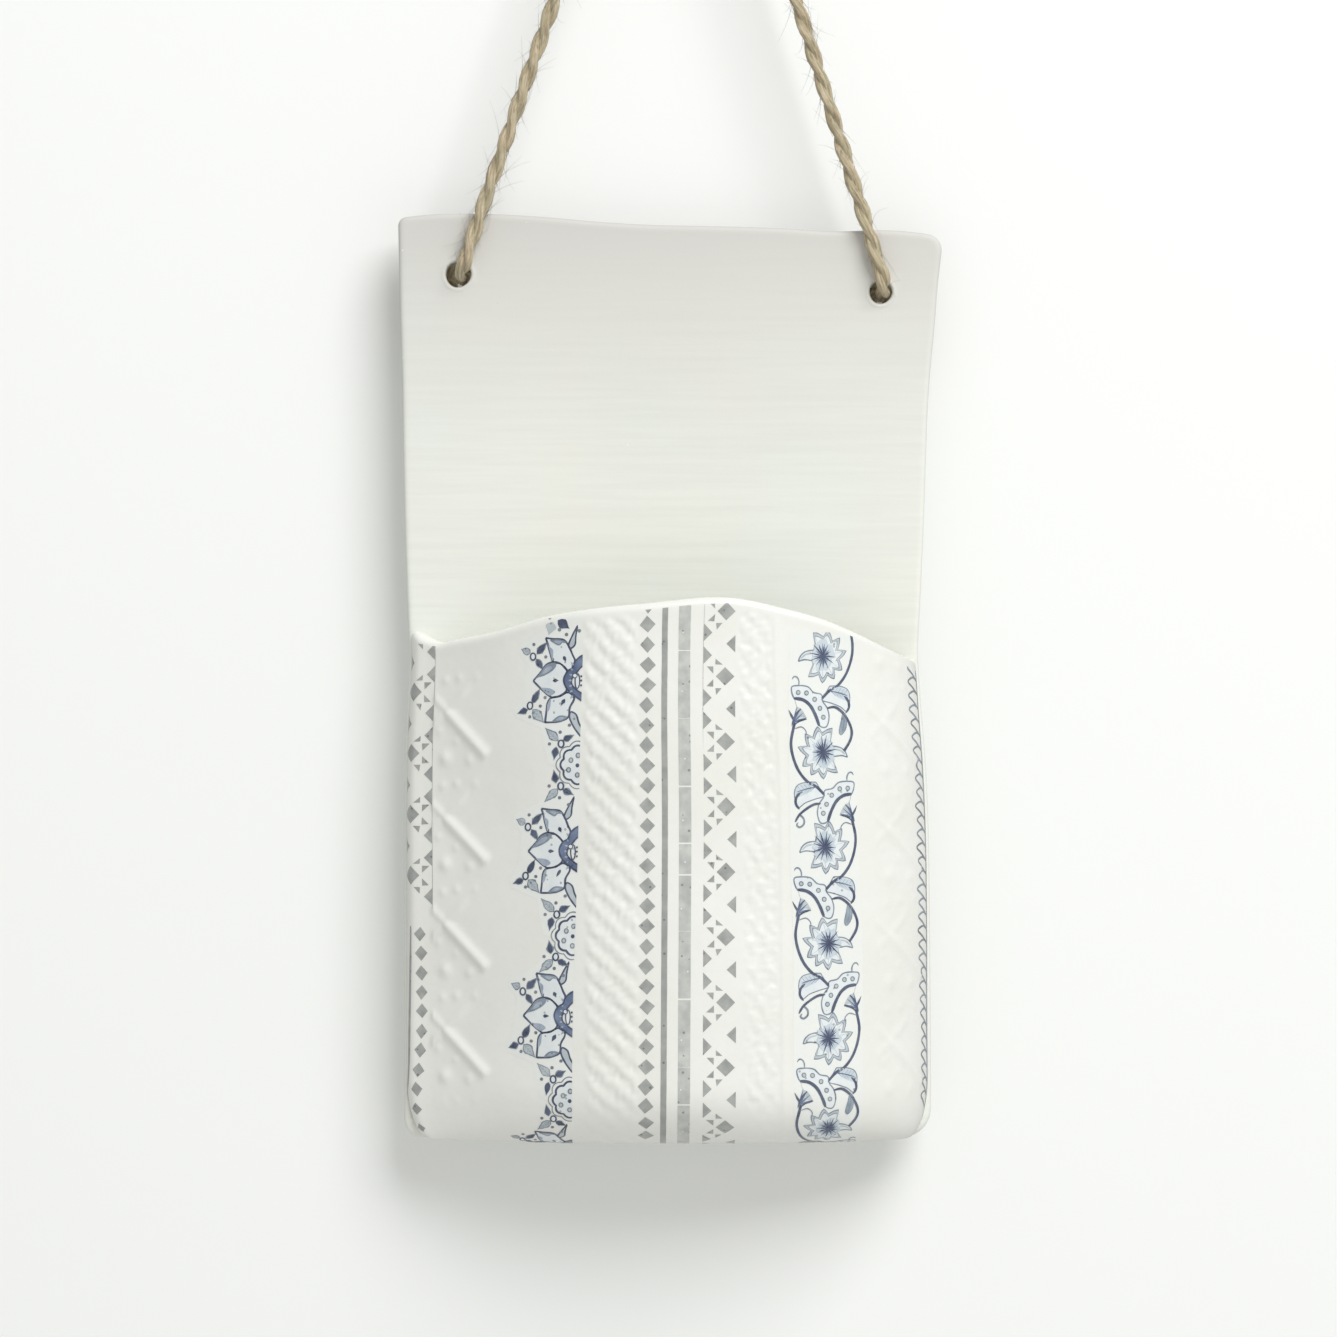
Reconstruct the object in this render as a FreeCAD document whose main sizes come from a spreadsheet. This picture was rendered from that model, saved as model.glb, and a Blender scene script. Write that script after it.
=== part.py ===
import FreeCAD, Part
import math
import os
import Sketcher

# Hanging wall vase: a flat back slab with two holes, a bulged pocket closed onto its lower half,
# and one twine that runs from hole to hole over a nail, with a stopper knot behind each hole.
# The origin is where the twine bears on the nail. +Z is up and the front faces -Y.
# The twine's two legs lie in the plane Y = 0, close in front of the slab.

Vector = FreeCAD.Vector

SIZES = (
    # twine and the nail it hangs on
    ("cord_diameter", 2.8),
    ("nail_diameter", 4.0),
    ("nail_saddle", 5.5),
    # clearances
    ("face_gap", 0.2),
    ("stub_gap", 0.15),
    ("bore_gap", 0.15),
    ("knot_gap", 0.05),
    # back slab outline, measured outwards and downwards from the nail
    ("slab_thickness", 4.4),
    ("slab_edge_round", 0.9),
    ("top_left_out", 54.6),
    ("top_left_drop", 102.3),
    ("top_right_out", 50.8),
    ("top_right_drop", 106.1),
    ("waist_left_out", 51.9),
    ("waist_right_out", 45.6),
    ("waist_drop", 185.0),
    ("foot_left_out", 53.7),
    ("foot_right_out", 48.3),
    ("foot_drop", 279.8),
    ("top_left_corner", 1.6),
    ("top_right_corner", 2.4),
    ("foot_left_corner", 3.6),
    ("foot_right_corner", 5.6),
    # holes
    ("left_hole_out", 43.1),
    ("left_hole_drop", 113.25),
    ("left_hole_bore", 4.8),
    ("right_hole_out", 38.45),
    ("right_hole_drop", 116.65),
    ("right_hole_bore", 4.3),
    ("hole_chamfer", 0.5),
    # pocket
    ("pocket_wall", 3.0),
    ("pocket_floor", 3.4),
    ("mouth_depth", 24.0),
    ("foot_depth", 23.0),
    ("side_inset", 0.3),
    ("pressed_edge", 2.6),
    ("roll_height", 12.0),
    ("roll_depth", 12.0),
    ("roll_narrowing", 4.4),
    ("rim_low_drop", 187.8),
    ("rim_rise", 12.0),
    # stopper knots
    ("knot_turn_radius", 2.7),
    ("knot_core_radius", 2.6),
    ("knot_cross_radius", 2.1),
    ("tail_length", 9.0),
    # one overrun for every cut
    ("overrun", 2.0),
)

# The pocket's wavy hand-cut rim from its left end to its right end:
# share of the mouth's width, and share of the rim's rise above its lowest point.
RIM_SHARES = (
    (0.00, 0.48),
    (0.055, 0.31),
    (0.17, 0.48),
    (0.275, 0.72),
    (0.39, 0.85),
    (0.53, 0.96),
    (0.59, 1.00),
    (0.65, 0.98),
    (0.73, 0.85),
    (0.82, 0.67),
    (0.895, 0.42),
    (0.95, 0.20),
    (1.00, 0.00),
)

# The pocket's left side from its crest to its left end, outside and then inside the wall:
# share of the half width, and share of the depth that stands out over the pressed-down edge.
SWELL_SHARES = (
    (0.15, 0.97),
    (0.30, 0.88),
    (0.45, 0.737),
    (0.60, 0.547),
    (0.70, 0.403),
    (0.80, 0.252),
    (0.90, 0.106),
    (1.00, 0.0),
)
CAVITY_SHARES = (
    (0.15, 0.97),
    (0.30, 0.88),
    (0.45, 0.732),
    (0.60, 0.535),
    (0.70, 0.39),
    (0.80, 0.25),
    (0.90, 0.12),
    (1.00, 0.0),
)

# The bottom of the pocket rolls under along a quarter ellipse, cut at these shares of a right angle.
ROLL_SHARES = (0.0, 0.3, 0.6, 0.8, 1.0)
RIGHT_ANGLE = 90.0

# The knots' crossing turn leans by this angle, and the tails hang outwards by this one.
CROSS_LEAN = 58.0
TAIL_LEAN = 24.0

doc = FreeCAD.newDocument("hanging_wall_vase")
sheet = doc.addObject("Spreadsheet::Sheet", "Sizes")
for row, (alias, value) in enumerate(SIZES, start=1):
    sheet.set(f"A{row}", alias)
    sheet.set(f"B{row}", str(value))
    sheet.setAlias(f"B{row}", alias)
doc.recompute()

FACE = "(Sizes.cord_diameter / 2 + Sizes.face_gap)"
BACK = f"({FACE} + Sizes.slab_thickness)"


def size(alias):
    return float(sheet.get(alias))


# Back slab

def front_sketch(body, name):
    """A sketch on the slab's front face: its x runs right, its y runs up."""
    sketch = body.newObject("Sketcher::SketchObject", name)
    plane = next(f for f in body.Origin.OriginFeatures if f.Role == "XZ_Plane")
    sketch.AttachmentSupport = [(plane, "")]
    sketch.MapMode = "FlatFace"
    sketch.setExpression(".AttachmentOffset.Base.z", f"-{FACE}")
    return sketch


def pin_point(sketch, place, side, out, drop):
    """Tie a point to the nail: its distance out to one side, and its drop below."""
    origin = (-1, 1)
    pair = (origin, place) if side > 0 else (place, origin)
    across = Sketcher.Constraint("DistanceX", *pair[0], *pair[1], size(out))
    sketch.setExpression(f"Constraints[{sketch.addConstraint(across)}]", f"Sizes.{out}")
    down = Sketcher.Constraint("DistanceY", *place, *origin, size(drop))
    sketch.setExpression(f"Constraints[{sketch.addConstraint(down)}]", f"Sizes.{drop}")


# Side of the nail, distance out, drop, and the size of the corner's round.
# The two waist points turn the outline by a few degrees only and stay unrounded.
SLAB_CORNERS = (
    (-1, "top_left_out", "top_left_drop", "top_left_corner"),
    (1, "top_right_out", "top_right_drop", "top_right_corner"),
    (1, "waist_right_out", "waist_drop", None),
    (1, "foot_right_out", "foot_drop", "foot_right_corner"),
    (-1, "foot_left_out", "foot_drop", "foot_left_corner"),
    (-1, "waist_left_out", "waist_drop", None),
)


def slab_outline(body):
    sketch = front_sketch(body, "SlabOutline")
    points = [Vector(side * size(out), -size(drop), 0) for side, out, drop, _ in SLAB_CORNERS]
    count = len(points)
    for index in range(count):
        sketch.addGeometry(Part.LineSegment(points[index], points[(index + 1) % count]))
    for index in range(count):
        sketch.addConstraint(Sketcher.Constraint("Coincident", index, 2, (index + 1) % count, 1))
    for index, (side, out, drop, _) in enumerate(SLAB_CORNERS):
        pin_point(sketch, (index, 1), side, out, drop)
    return sketch


def corner_edge(shape, side, out, drop):
    """Name of the straight edge that runs through the slab at one corner of its outline."""
    corner = Vector(side * size(out), 0, -size(drop))
    best = None
    for number, edge in enumerate(shape.Edges, start=1):
        ends = [vertex.Point for vertex in edge.Vertexes]
        if len(ends) != 2 or abs(ends[0].y - ends[1].y) < size("slab_thickness") / 2:
            continue
        gap = math.hypot(ends[0].x - corner.x, ends[0].z - corner.z)
        if best is None or gap < best[0]:
            best = (gap, f"Edge{number}")
    return best[1]


def face_edges(shape, level):
    """Names of the edges that lie wholly on the plane Y = level."""
    names = []
    for number, edge in enumerate(shape.Edges, start=1):
        box = edge.BoundBox
        if abs(box.YMin - level) < size("knot_gap") and abs(box.YMax - level) < size("knot_gap"):
            names.append(f"Edge{number}")
    return names


def make_back_slab():
    body = doc.addObject("PartDesign::Body", "BackSlab")
    outline = slab_outline(body)
    pad = body.newObject("PartDesign::Pad", "SlabPad")
    pad.Profile = outline
    pad.Reversed = True
    pad.setExpression("Length", "Sizes.slab_thickness")
    doc.recompute()
    feature = pad
    for side, out, drop, corner in SLAB_CORNERS:
        if corner is None:
            continue
        edge = corner_edge(feature.Shape, side, out, drop)
        rounding = body.newObject("PartDesign::Fillet", f"Round_{out}")
        rounding.Base = (feature, [edge])
        rounding.setExpression("Radius", f"Sizes.{corner}")
        doc.recompute()
        feature = rounding
    soft = body.newObject("PartDesign::Fillet", "SoftEdges")
    front = size("cord_diameter") / 2 + size("face_gap")
    back = front + size("slab_thickness")
    soft.Base = (feature, face_edges(feature.Shape, front) + face_edges(feature.Shape, back))
    soft.setExpression("Radius", "Sizes.slab_edge_round")
    doc.recompute()
    holes = front_sketch(body, "HoleCircles")
    for index, (side, name) in enumerate(((-1, "left_hole"), (1, "right_hole"))):
        centre = Vector(side * size(f"{name}_out"), -size(f"{name}_drop"), 0)
        holes.addGeometry(Part.Circle(centre, Vector(0, 0, 1), size(f"{name}_bore") / 2))
        pin_point(holes, (index, 3), side, f"{name}_out", f"{name}_drop")
        bore = Sketcher.Constraint("Diameter", index, size(f"{name}_bore"))
        holes.setExpression(f"Constraints[{holes.addConstraint(bore)}]", f"Sizes.{name}_bore")
    bores = body.newObject("PartDesign::Pocket", "TwineHoles")
    bores.Profile = holes
    bores.Type = "ThroughAll"
    doc.recompute()
    print("slab volume before and after its holes:", soft.Shape.Volume, bores.Shape.Volume)
    mouths = []
    for number, edge in enumerate(bores.Shape.Edges, start=1):
        box = edge.BoundBox
        widest = max(size("left_hole_bore"), size("right_hole_bore")) + size("knot_gap")
        flat = abs(box.YMin - front) < size("knot_gap") and abs(box.YMax - front) < size("knot_gap")
        if flat and isinstance(edge.Curve, Part.Circle) and 2 * edge.Curve.Radius < widest:
            if edge.isClosed():
                mouths.append(f"Edge{number}")
    chamfer = body.newObject("PartDesign::Chamfer", "HoleMouths")
    chamfer.Base = (bores, mouths)
    chamfer.setExpression("Size", "Sizes.hole_chamfer")
    doc.recompute()
    body.Label = "back_slab"
    return body


# Pocket

def section(name, left, right, depth, pressed, level, shares):
    """A level section of the bulge: a quarter oval on its right side, and on its left a slow swell
    that starts from the pressed-down edge. It is closed behind the slab's front face."""
    face = size("cord_diameter") / 2 + size("face_gap")
    behind = face + size("overrun")
    middle = (right - left) / 2
    half = (right + left) / 2
    crest = Vector(middle, face - depth, level)
    right_end = Vector(right, face, level)
    quarter = Part.Ellipse(right_end, crest, Vector(middle, face, level))
    points = [crest] + [
        Vector(middle - across * half, face - pressed - out * (depth - pressed), level)
        for across, out in shares
    ]
    swell = Part.BSplineCurve()
    first_way = Vector(-1, 0, 0)
    last_way = (points[-1] - points[-2]).normalize()
    swell.interpolate(Points=points, InitialTangent=first_way, FinalTangent=last_way)
    left_back = Vector(-left, behind, level)
    right_back = Vector(right, behind, level)
    edges = [
        Part.ArcOfEllipse(quarter, 0, math.pi / 2).toShape(),
        swell.toShape(),
        Part.LineSegment(points[-1], left_back).toShape(),
        Part.LineSegment(left_back, right_back).toShape(),
        Part.LineSegment(right_back, right_end).toShape(),
    ]
    ring = doc.addObject("Part::Feature", name)
    ring.Shape = Part.Wire(edges)
    return ring


def loft(name, rings, ruled):
    solid = doc.addObject("Part::Loft", name)
    solid.Sections = rings
    solid.Solid = True
    solid.Ruled = ruled
    return solid


def bulge(name, inset, floor, pressed, shares):
    """The pocket's full bulge, drawn in by the inset on its sides and front and raised by the floor."""
    side = size("side_inset") + inset
    rings = []
    for index, share in enumerate(ROLL_SHARES):
        angle = math.radians(share * RIGHT_ANGLE)
        tuck = 1 - math.sin(angle)
        rise = 1 - math.cos(angle)
        drawn_in = side + size("roll_narrowing") * tuck
        left = size("foot_left_out") - drawn_in
        right = size("foot_right_out") - drawn_in
        depth = size("foot_depth") - inset - (size("roll_depth") - inset) * tuck
        level = -size("foot_drop") + floor + (size("roll_height") - floor) * rise
        rings.append(section(f"{name}Roll{index}", left, right, depth, pressed, level, shares))
    mouth = section(
        f"{name}Mouth",
        size("waist_left_out") - side,
        size("waist_right_out") - side,
        size("mouth_depth") - inset,
        pressed,
        -size("rim_low_drop") + size("rim_rise") + size("overrun"),
        shares,
    )
    roll = loft(f"{name}RollLoft", rings, False)
    wall = loft(f"{name}WallLoft", [rings[-1], mouth], True)
    whole = doc.addObject("Part::MultiFuse", name)
    whole.Shapes = [roll, wall]
    return whole


def rim_cutter():
    """Everything above the wavy rim, from behind the slab's face to ahead of the pocket."""
    left = -size("waist_left_out") + size("side_inset")
    width = size("waist_left_out") + size("waist_right_out") - 2 * size("side_inset")
    low = -size("rim_low_drop")
    front = size("cord_diameter") / 2 + size("face_gap") - size("mouth_depth") - size("overrun")
    points = [
        Vector(left + across * width, front, low + up * size("rim_rise"))
        for across, up in RIM_SHARES
    ]
    wave = Part.BSplineCurve()
    wave.interpolate(points)
    top = low + size("rim_rise") + 2 * size("overrun")
    right_low = points[-1] + Vector(size("overrun"), 0, 0)
    right_top = Vector(right_low.x, front, top)
    left_low = points[0] - Vector(size("overrun"), 0, 0)
    left_top = Vector(left_low.x, front, top)
    lines = (
        (points[-1], right_low),
        (right_low, right_top),
        (right_top, left_top),
        (left_top, left_low),
        (left_low, points[0]),
    )
    edges = [wave.toShape()] + [Part.LineSegment(*ends).toShape() for ends in lines]
    cutter = doc.addObject("Part::Feature", "RimCutter")
    face = Part.Face(Part.Wire(edges))
    cutter.Shape = face.extrude(Vector(0, size("mouth_depth") + 2 * size("overrun"), 0))
    return cutter


def space_behind_face():
    """A block behind the slab's front face, which the bulges are cut back to."""
    block = doc.addObject("Part::Box", "BehindFace")
    block.setExpression("Length", "Sizes.foot_left_out + Sizes.foot_right_out + 2 * Sizes.overrun")
    block.setExpression("Width", "Sizes.mouth_depth + Sizes.foot_depth")
    block.setExpression("Height", "Sizes.foot_drop")
    block.setExpression(".Placement.Base.x", "-Sizes.foot_left_out - Sizes.overrun")
    block.setExpression(".Placement.Base.y", FACE)
    block.setExpression(".Placement.Base.z", "-Sizes.foot_drop - Sizes.overrun")
    return block


def make_pocket():
    outer = bulge("Bulge", 0, 0, size("pressed_edge"), SWELL_SHARES)
    inner = bulge("Cavity", size("pocket_wall"), size("pocket_floor"), 0, CAVITY_SHARES)
    hollow = doc.addObject("Part::Cut", "HollowBulge")
    hollow.Base = outer
    hollow.Tool = inner
    open_back = doc.addObject("Part::Cut", "OpenBack")
    open_back.Base = hollow
    open_back.Tool = space_behind_face()
    pocket = doc.addObject("Part::Cut", "Pocket")
    pocket.Base = open_back
    pocket.Tool = rim_cutter()
    pocket.Label = "pocket"
    return pocket


# Twine

def hinge_point(side, name):
    """Where the twine turns into a hole: it bears on the upper side of the bore."""
    lift = size(f"{name}_bore") / 2 - size("cord_diameter") / 2 - size("bore_gap")
    return Vector(side * size(f"{name}_out"), 0, -size(f"{name}_drop") + lift)


def twine_route():
    """Hole, two points over the nail, hole. Both legs are pulled straight by the vase's weight."""
    radius = size("cord_diameter") / 2
    saddle = size("nail_saddle") / 2
    return [
        hinge_point(-1, "left_hole"),
        Vector(-saddle, 0, radius),
        Vector(saddle, 0, radius),
        hinge_point(1, "right_hole"),
    ]


def tube(points, radius, bend_radii):
    """A tube along straight runs joined by tangent arcs, one arc at each inner point."""
    edges = []
    start = points[0]
    for index, bend in enumerate(bend_radii, start=1):
        before = (points[index - 1] - points[index]).normalize()
        after = (points[index + 1] - points[index]).normalize()
        half_open = before.getAngle(after) / 2
        reach = bend / math.tan(half_open)
        first = points[index] + before * reach
        last = points[index] + after * reach
        inward = (before + after).normalize()
        middle = points[index] + inward * (bend / math.sin(half_open) - bend)
        edges.append(Part.LineSegment(start, first).toShape())
        edges.append(Part.Arc(first, middle, last).toShape())
        print("twine bend radius", round(bend, 2), "turn", round(180 - math.degrees(2 * half_open), 1))
        start = last
    edges.append(Part.LineSegment(start, points[-1]).toShape())
    path = Part.Wire(edges)
    heading = (points[1] - points[0]).normalize()
    section = Part.Wire([Part.Circle(points[0], heading, radius).toShape()])
    solid = path.makePipeShell([section], True, False)
    print("twine path", round(path.Length, 1), "volume share",
          round(solid.Volume / (math.pi * radius ** 2 * path.Length), 4))
    return solid


def make_twine():
    points = twine_route()
    radius = size("cord_diameter") / 2
    bend = size("nail_diameter") / 2 + radius
    solid = tube(points, radius, [bend, bend])
    for end in (points[0], points[-1]):
        solid = solid.fuse(Part.makeSphere(radius, end))
    twine = doc.addObject("Part::Feature", "HangingTwine")
    twine.Shape = solid.removeSplitter()
    twine.Label = "hanging_twine"
    return twine


# Stopper knots

def make_knot(label, side, hole):
    """The twine's end behind one hole: the stub through the bore, two turns, a core and a tail."""
    tag = "Left" if side < 0 else "Right"
    across = f"({side} * Sizes.{hole}_out)"
    lift = f"(Sizes.{hole}_bore / 2 - Sizes.cord_diameter / 2 - Sizes.bore_gap)"
    level = f"(-Sizes.{hole}_drop + {lift})"
    seat = f"({BACK} + Sizes.knot_gap)"
    middle = f"({seat} + Sizes.cord_diameter / 2)"

    def place(piece, height):
        piece.setExpression(".Placement.Base.x", across)
        piece.setExpression(".Placement.Base.y", height)
        piece.setExpression(".Placement.Base.z", level)

    stub = doc.addObject("Part::Cylinder", f"{tag}Stub")
    stub.Placement.Rotation = FreeCAD.Rotation(Vector(1, 0, 0), -RIGHT_ANGLE)
    stub.setExpression("Radius", "Sizes.cord_diameter / 2")
    start = "(Sizes.cord_diameter / 2 + Sizes.stub_gap)"
    stub.setExpression("Height", f"{middle} - {start}")
    place(stub, start)

    flat_turn = doc.addObject("Part::Torus", f"{tag}FlatTurn")
    flat_turn.Placement.Rotation = FreeCAD.Rotation(Vector(1, 0, 0), RIGHT_ANGLE)
    flat_turn.setExpression("Radius1", "Sizes.knot_turn_radius")
    flat_turn.setExpression("Radius2", "Sizes.cord_diameter / 2")
    place(flat_turn, middle)

    cross_turn = doc.addObject("Part::Torus", f"{tag}CrossTurn")
    cross_turn.Placement.Rotation = FreeCAD.Rotation(Vector(1, 0, side), CROSS_LEAN)
    cross_turn.setExpression("Radius1", "Sizes.knot_cross_radius")
    cross_turn.setExpression("Radius2", "Sizes.cord_diameter / 2")
    place(cross_turn, f"{seat} + Sizes.cord_diameter / 2 + Sizes.knot_cross_radius")

    core = doc.addObject("Part::Sphere", f"{tag}Core")
    core.setExpression("Radius", "Sizes.knot_core_radius")
    place(core, f"{seat} + Sizes.knot_core_radius")

    tail = doc.addObject("Part::Cylinder", f"{tag}Tail")
    tail.Placement.Rotation = FreeCAD.Rotation(Vector(0, 1, 0), 2 * RIGHT_ANGLE - side * TAIL_LEAN)
    tail.setExpression("Radius", "Sizes.cord_diameter / 2")
    tail.setExpression("Height", "Sizes.knot_core_radius + Sizes.tail_length")
    place(tail, f"{seat} + Sizes.knot_core_radius")

    knot = doc.addObject("Part::MultiFuse", f"{tag}Knot")
    knot.Shapes = [stub, flat_turn, cross_turn, core, tail]
    knot.Label = label
    return knot


sub_parts = [
    make_back_slab(),
    make_pocket(),
    make_twine(),
    make_knot("left_knot", -1, "left_hole"),
    make_knot("right_knot", 1, "right_hole"),
]
doc.recompute()

for thing in doc.Objects:
    if "Invalid" in thing.State or "Error" in thing.State:
        raise RuntimeError(f"{thing.Name} failed: {thing.State}")
os.makedirs("parts", exist_ok=True)
for piece in sub_parts:
    shape = piece.Shape
    if shape.isNull() or not shape.isValid():
        raise RuntimeError(f"{piece.Label} has no valid shape")
    box = shape.BoundBox
    print(piece.Label, "solids", len(shape.Solids), "volume", round(shape.Volume, 1),
          "x", round(box.XMin, 2), round(box.XMax, 2), "y", round(box.YMin, 2), round(box.YMax, 2),
          "z", round(box.ZMin, 2), round(box.ZMax, 2))
    shape.exportStep(os.path.join("parts", f"{piece.Label}.step"))
for side, name in ((-1, "left_hole"), (1, "right_hole")):
    print("hinge at", name, tuple(round(value, 3) for value in hinge_point(side, name)))
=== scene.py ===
# %% [markdown]
# # A hanging wall vase
# A potter made this wall vase from two sheets of clay. One is the flat back, left almost bare and
# silky. The other is bent into a shallow pocket, glazed, and covered with printed borders and
# pressed lace. One jute twine runs through two holes at the top and over a nail.
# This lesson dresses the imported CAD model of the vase. Every number is in millimetres until the
# last moment, when a finished mesh is scaled to metres.

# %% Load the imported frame
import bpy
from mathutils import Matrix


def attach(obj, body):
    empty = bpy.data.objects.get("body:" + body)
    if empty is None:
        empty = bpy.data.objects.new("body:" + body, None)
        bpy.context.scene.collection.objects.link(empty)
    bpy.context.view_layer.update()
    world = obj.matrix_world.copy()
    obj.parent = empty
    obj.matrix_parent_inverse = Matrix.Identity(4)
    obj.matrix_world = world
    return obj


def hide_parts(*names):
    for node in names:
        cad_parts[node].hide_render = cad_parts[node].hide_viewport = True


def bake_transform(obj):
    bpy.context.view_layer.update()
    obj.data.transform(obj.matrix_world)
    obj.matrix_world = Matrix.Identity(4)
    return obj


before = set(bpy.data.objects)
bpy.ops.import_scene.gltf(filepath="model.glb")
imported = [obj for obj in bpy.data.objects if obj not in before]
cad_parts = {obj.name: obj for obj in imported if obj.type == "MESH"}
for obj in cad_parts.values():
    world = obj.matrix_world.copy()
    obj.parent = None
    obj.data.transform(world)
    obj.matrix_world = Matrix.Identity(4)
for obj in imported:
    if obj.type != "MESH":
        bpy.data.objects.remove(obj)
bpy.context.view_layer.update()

# %% Tools of the lesson
import math
import random
from bisect import bisect_right

import bmesh
import bpy
import numpy as np
from mathutils import Vector, noise

MM = 0.001
scene = bpy.context.scene
scene.view_settings.view_transform = "Standard"

# %% [markdown]
# ## The camera
# The photograph looks straight at the vase from the front, a little below its middle. A long lens
# from one metre away keeps the sides parallel, as they are in the photograph. The camera comes
# first because the twine leaves the picture at its top, and the frame has to know what is seen.

# %% Camera
CAMERA_PLACE = (-2.5, -1000.0, -189.25)
FRAME_WIDTH = 257.6
SENSOR_WIDTH = 36.0
PHOTO_PIXELS = 1337
PIXEL = FRAME_WIDTH / PHOTO_PIXELS

eye = bpy.data.cameras.new("camera")
eye.sensor_width = SENSOR_WIDTH
eye.lens = SENSOR_WIDTH * -CAMERA_PLACE[1] / FRAME_WIDTH
camera = bpy.data.objects.new("camera", eye)
camera.location = [MM * value for value in CAMERA_PLACE]
camera.rotation_euler = (math.radians(90), 0, 0)
scene.collection.objects.link(camera)
scene.camera = camera
print("lens", round(eye.lens, 2), "mm")

# %% [markdown]
# ## Three helpers for meshes
# A mesh is drawn with bmesh in millimetres and handed in as a piece. Most pieces here start as a
# flat grid whose points are then moved by a formula, the way a sheet of clay or a wrapped thread
# starts flat. A smooth line through a few listed points gives edges that were cut by hand.

# %% Helpers for meshes
def start_mesh():
    """An empty bmesh that keeps a UV map, so that a pattern can follow a sheet or a strand."""
    made = bmesh.new()
    made.loops.layers.uv.new("UVMap")
    return made


def grid_of(mesh, columns, rows, place):
    """Add a grid whose crossing points go where place(column, row) says."""
    made = bmesh.ops.create_grid(
        mesh, x_segments=columns, y_segments=rows, size=0.5, calc_uvs=True
    )
    for vert in made["verts"]:
        column = round((vert.co.x + 0.5) * columns)
        row = round((vert.co.y + 0.5) * rows)
        vert.co = place(column, row)
    return made["verts"]


def hand_in(mesh, name, materials):
    """Turn a bmesh drawn in millimetres into a smooth-shaded object in metres."""
    bmesh.ops.scale(mesh, vec=(MM, MM, MM), verts=mesh.verts)
    data = bpy.data.meshes.new(name)
    mesh.to_mesh(data)
    mesh.free()
    data.shade_smooth()
    for material in materials:
        data.materials.append(material)
    piece = bpy.data.objects.new(name, data)
    scene.collection.objects.link(piece)
    data.calc_loop_triangles()
    print(name, len(data.loop_triangles), "triangles")
    return piece


def smooth_line(points, at):
    """Height at a place of a smooth line through (place, height) points, level past its ends."""
    if at <= points[0][0]:
        return points[0][1]
    if at >= points[-1][0]:
        return points[-1][1]
    index = bisect_right([point[0] for point in points], at) - 1
    (x0, y0), (x1, y1) = points[index], points[index + 1]
    before = points[max(index - 1, 0)]
    after = points[min(index + 2, len(points) - 1)]
    run = x1 - x0
    slope0 = (y1 - before[1]) / (x1 - before[0])
    slope1 = (after[1] - y0) / (after[0] - x0)
    t = (at - x0) / run
    return (
        y0 * (1 + 2 * t) * (1 - t) ** 2
        + slope0 * run * t * (1 - t) ** 2
        + y1 * t * t * (3 - 2 * t)
        - slope1 * run * t * t * (1 - t)
    )


def ease(t):
    """A smooth step from 0 to 1."""
    t = min(max(t, 0.0), 1.0)
    return t * t * (3 - 2 * t)


# %% [markdown]
# ## Materials as node trees
# A material here is a short list of nodes. Two small helpers add a node with its inputs, and mix
# two colours. Effects that several finishes share, such as soft mottling or tiny specks, are node
# groups with named sockets, so that each finish sets its own scale and strength.

# %% Helpers for nodes
def feed(tree, made, inputs):
    """Set a node's inputs to numbers or colours, or link the sockets that feed them."""
    for key, value in inputs.items():
        if isinstance(value, bpy.types.NodeSocket):
            tree.links.new(value, made.inputs[key])
        else:
            made.inputs[key].default_value = value


def node(tree, kind, inputs=None, **settings):
    """Add a node with its settings and inputs."""
    made = tree.nodes.new(kind)
    for key, value in settings.items():
        setattr(made, key, value)
    feed(tree, made, inputs or {})
    return made


def maths(tree, operation, first, second=0.0):
    """One sum on two numbers."""
    return node(tree, "ShaderNodeMath", {0: first, 1: second}, operation=operation).outputs[0]


def span(tree, value, low, high, new_low, new_high):
    """Stretch a value from one range to another, and hold it inside the new one."""
    inputs = {0: value, 1: low, 2: high, 3: new_low, 4: new_high}
    return node(tree, "ShaderNodeMapRange", inputs, clamp=True).outputs[0]


def blend_colours(tree, share, first, second, how="MIX"):
    """Mix two colours; how names the kind of mixing."""
    made = node(tree, "ShaderNodeMix", {0: share, 6: first, 7: second}, data_type="RGBA")
    made.blend_type = how
    return made.outputs[2]


def colour(red, green, blue):
    """An sRGB colour given in 0 to 255, as the linear colour that a shader wants."""
    parts = [value / 255 for value in (red, green, blue)]
    return (*[p / 12.92 if p < 0.04045 else ((p + 0.055) / 1.055) ** 2.4 for p in parts], 1.0)


def new_group(name, inputs, outputs):
    """An empty node group with number or vector inputs and named outputs."""
    tree = bpy.data.node_groups.new(name, "ShaderNodeTree")
    for socket, kind, value in inputs:
        made = tree.interface.new_socket(name=socket, in_out="INPUT", socket_type=kind)
        if value is not None:
            made.default_value = value
    for socket, kind in outputs:
        tree.interface.new_socket(name=socket, in_out="OUTPUT", socket_type=kind)
    return tree, node(tree, "NodeGroupInput").outputs, node(tree, "NodeGroupOutput").inputs


def use_group(tree, group, inputs):
    """Place a node group in a material with its own values."""
    return node(tree, "ShaderNodeGroup", inputs, node_tree=group).outputs


def new_material(name):
    """A material with its node tree and its Principled shader."""
    material = bpy.data.materials.new(name)
    material.use_nodes = True
    return material, material.node_tree, material.node_tree.nodes["Principled BSDF"]


def on_object(tree):
    """The place on the object, in metres, that every pattern here is laid out by."""
    return node(tree, "ShaderNodeTexCoord").outputs["Object"]


def bump(tree, shader, height, distance, strength=1.0):
    """Tilt a shader's surface by a height from 0 to 1 that stands for so many millimetres."""
    inputs = {"Height": height, "Distance": distance * MM, "Strength": strength}
    feed(tree, shader, {"Normal": node(tree, "ShaderNodeBump", inputs).outputs[0]})


NUMBER = "NodeSocketFloat"
ARROW = "NodeSocketVector"

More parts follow.
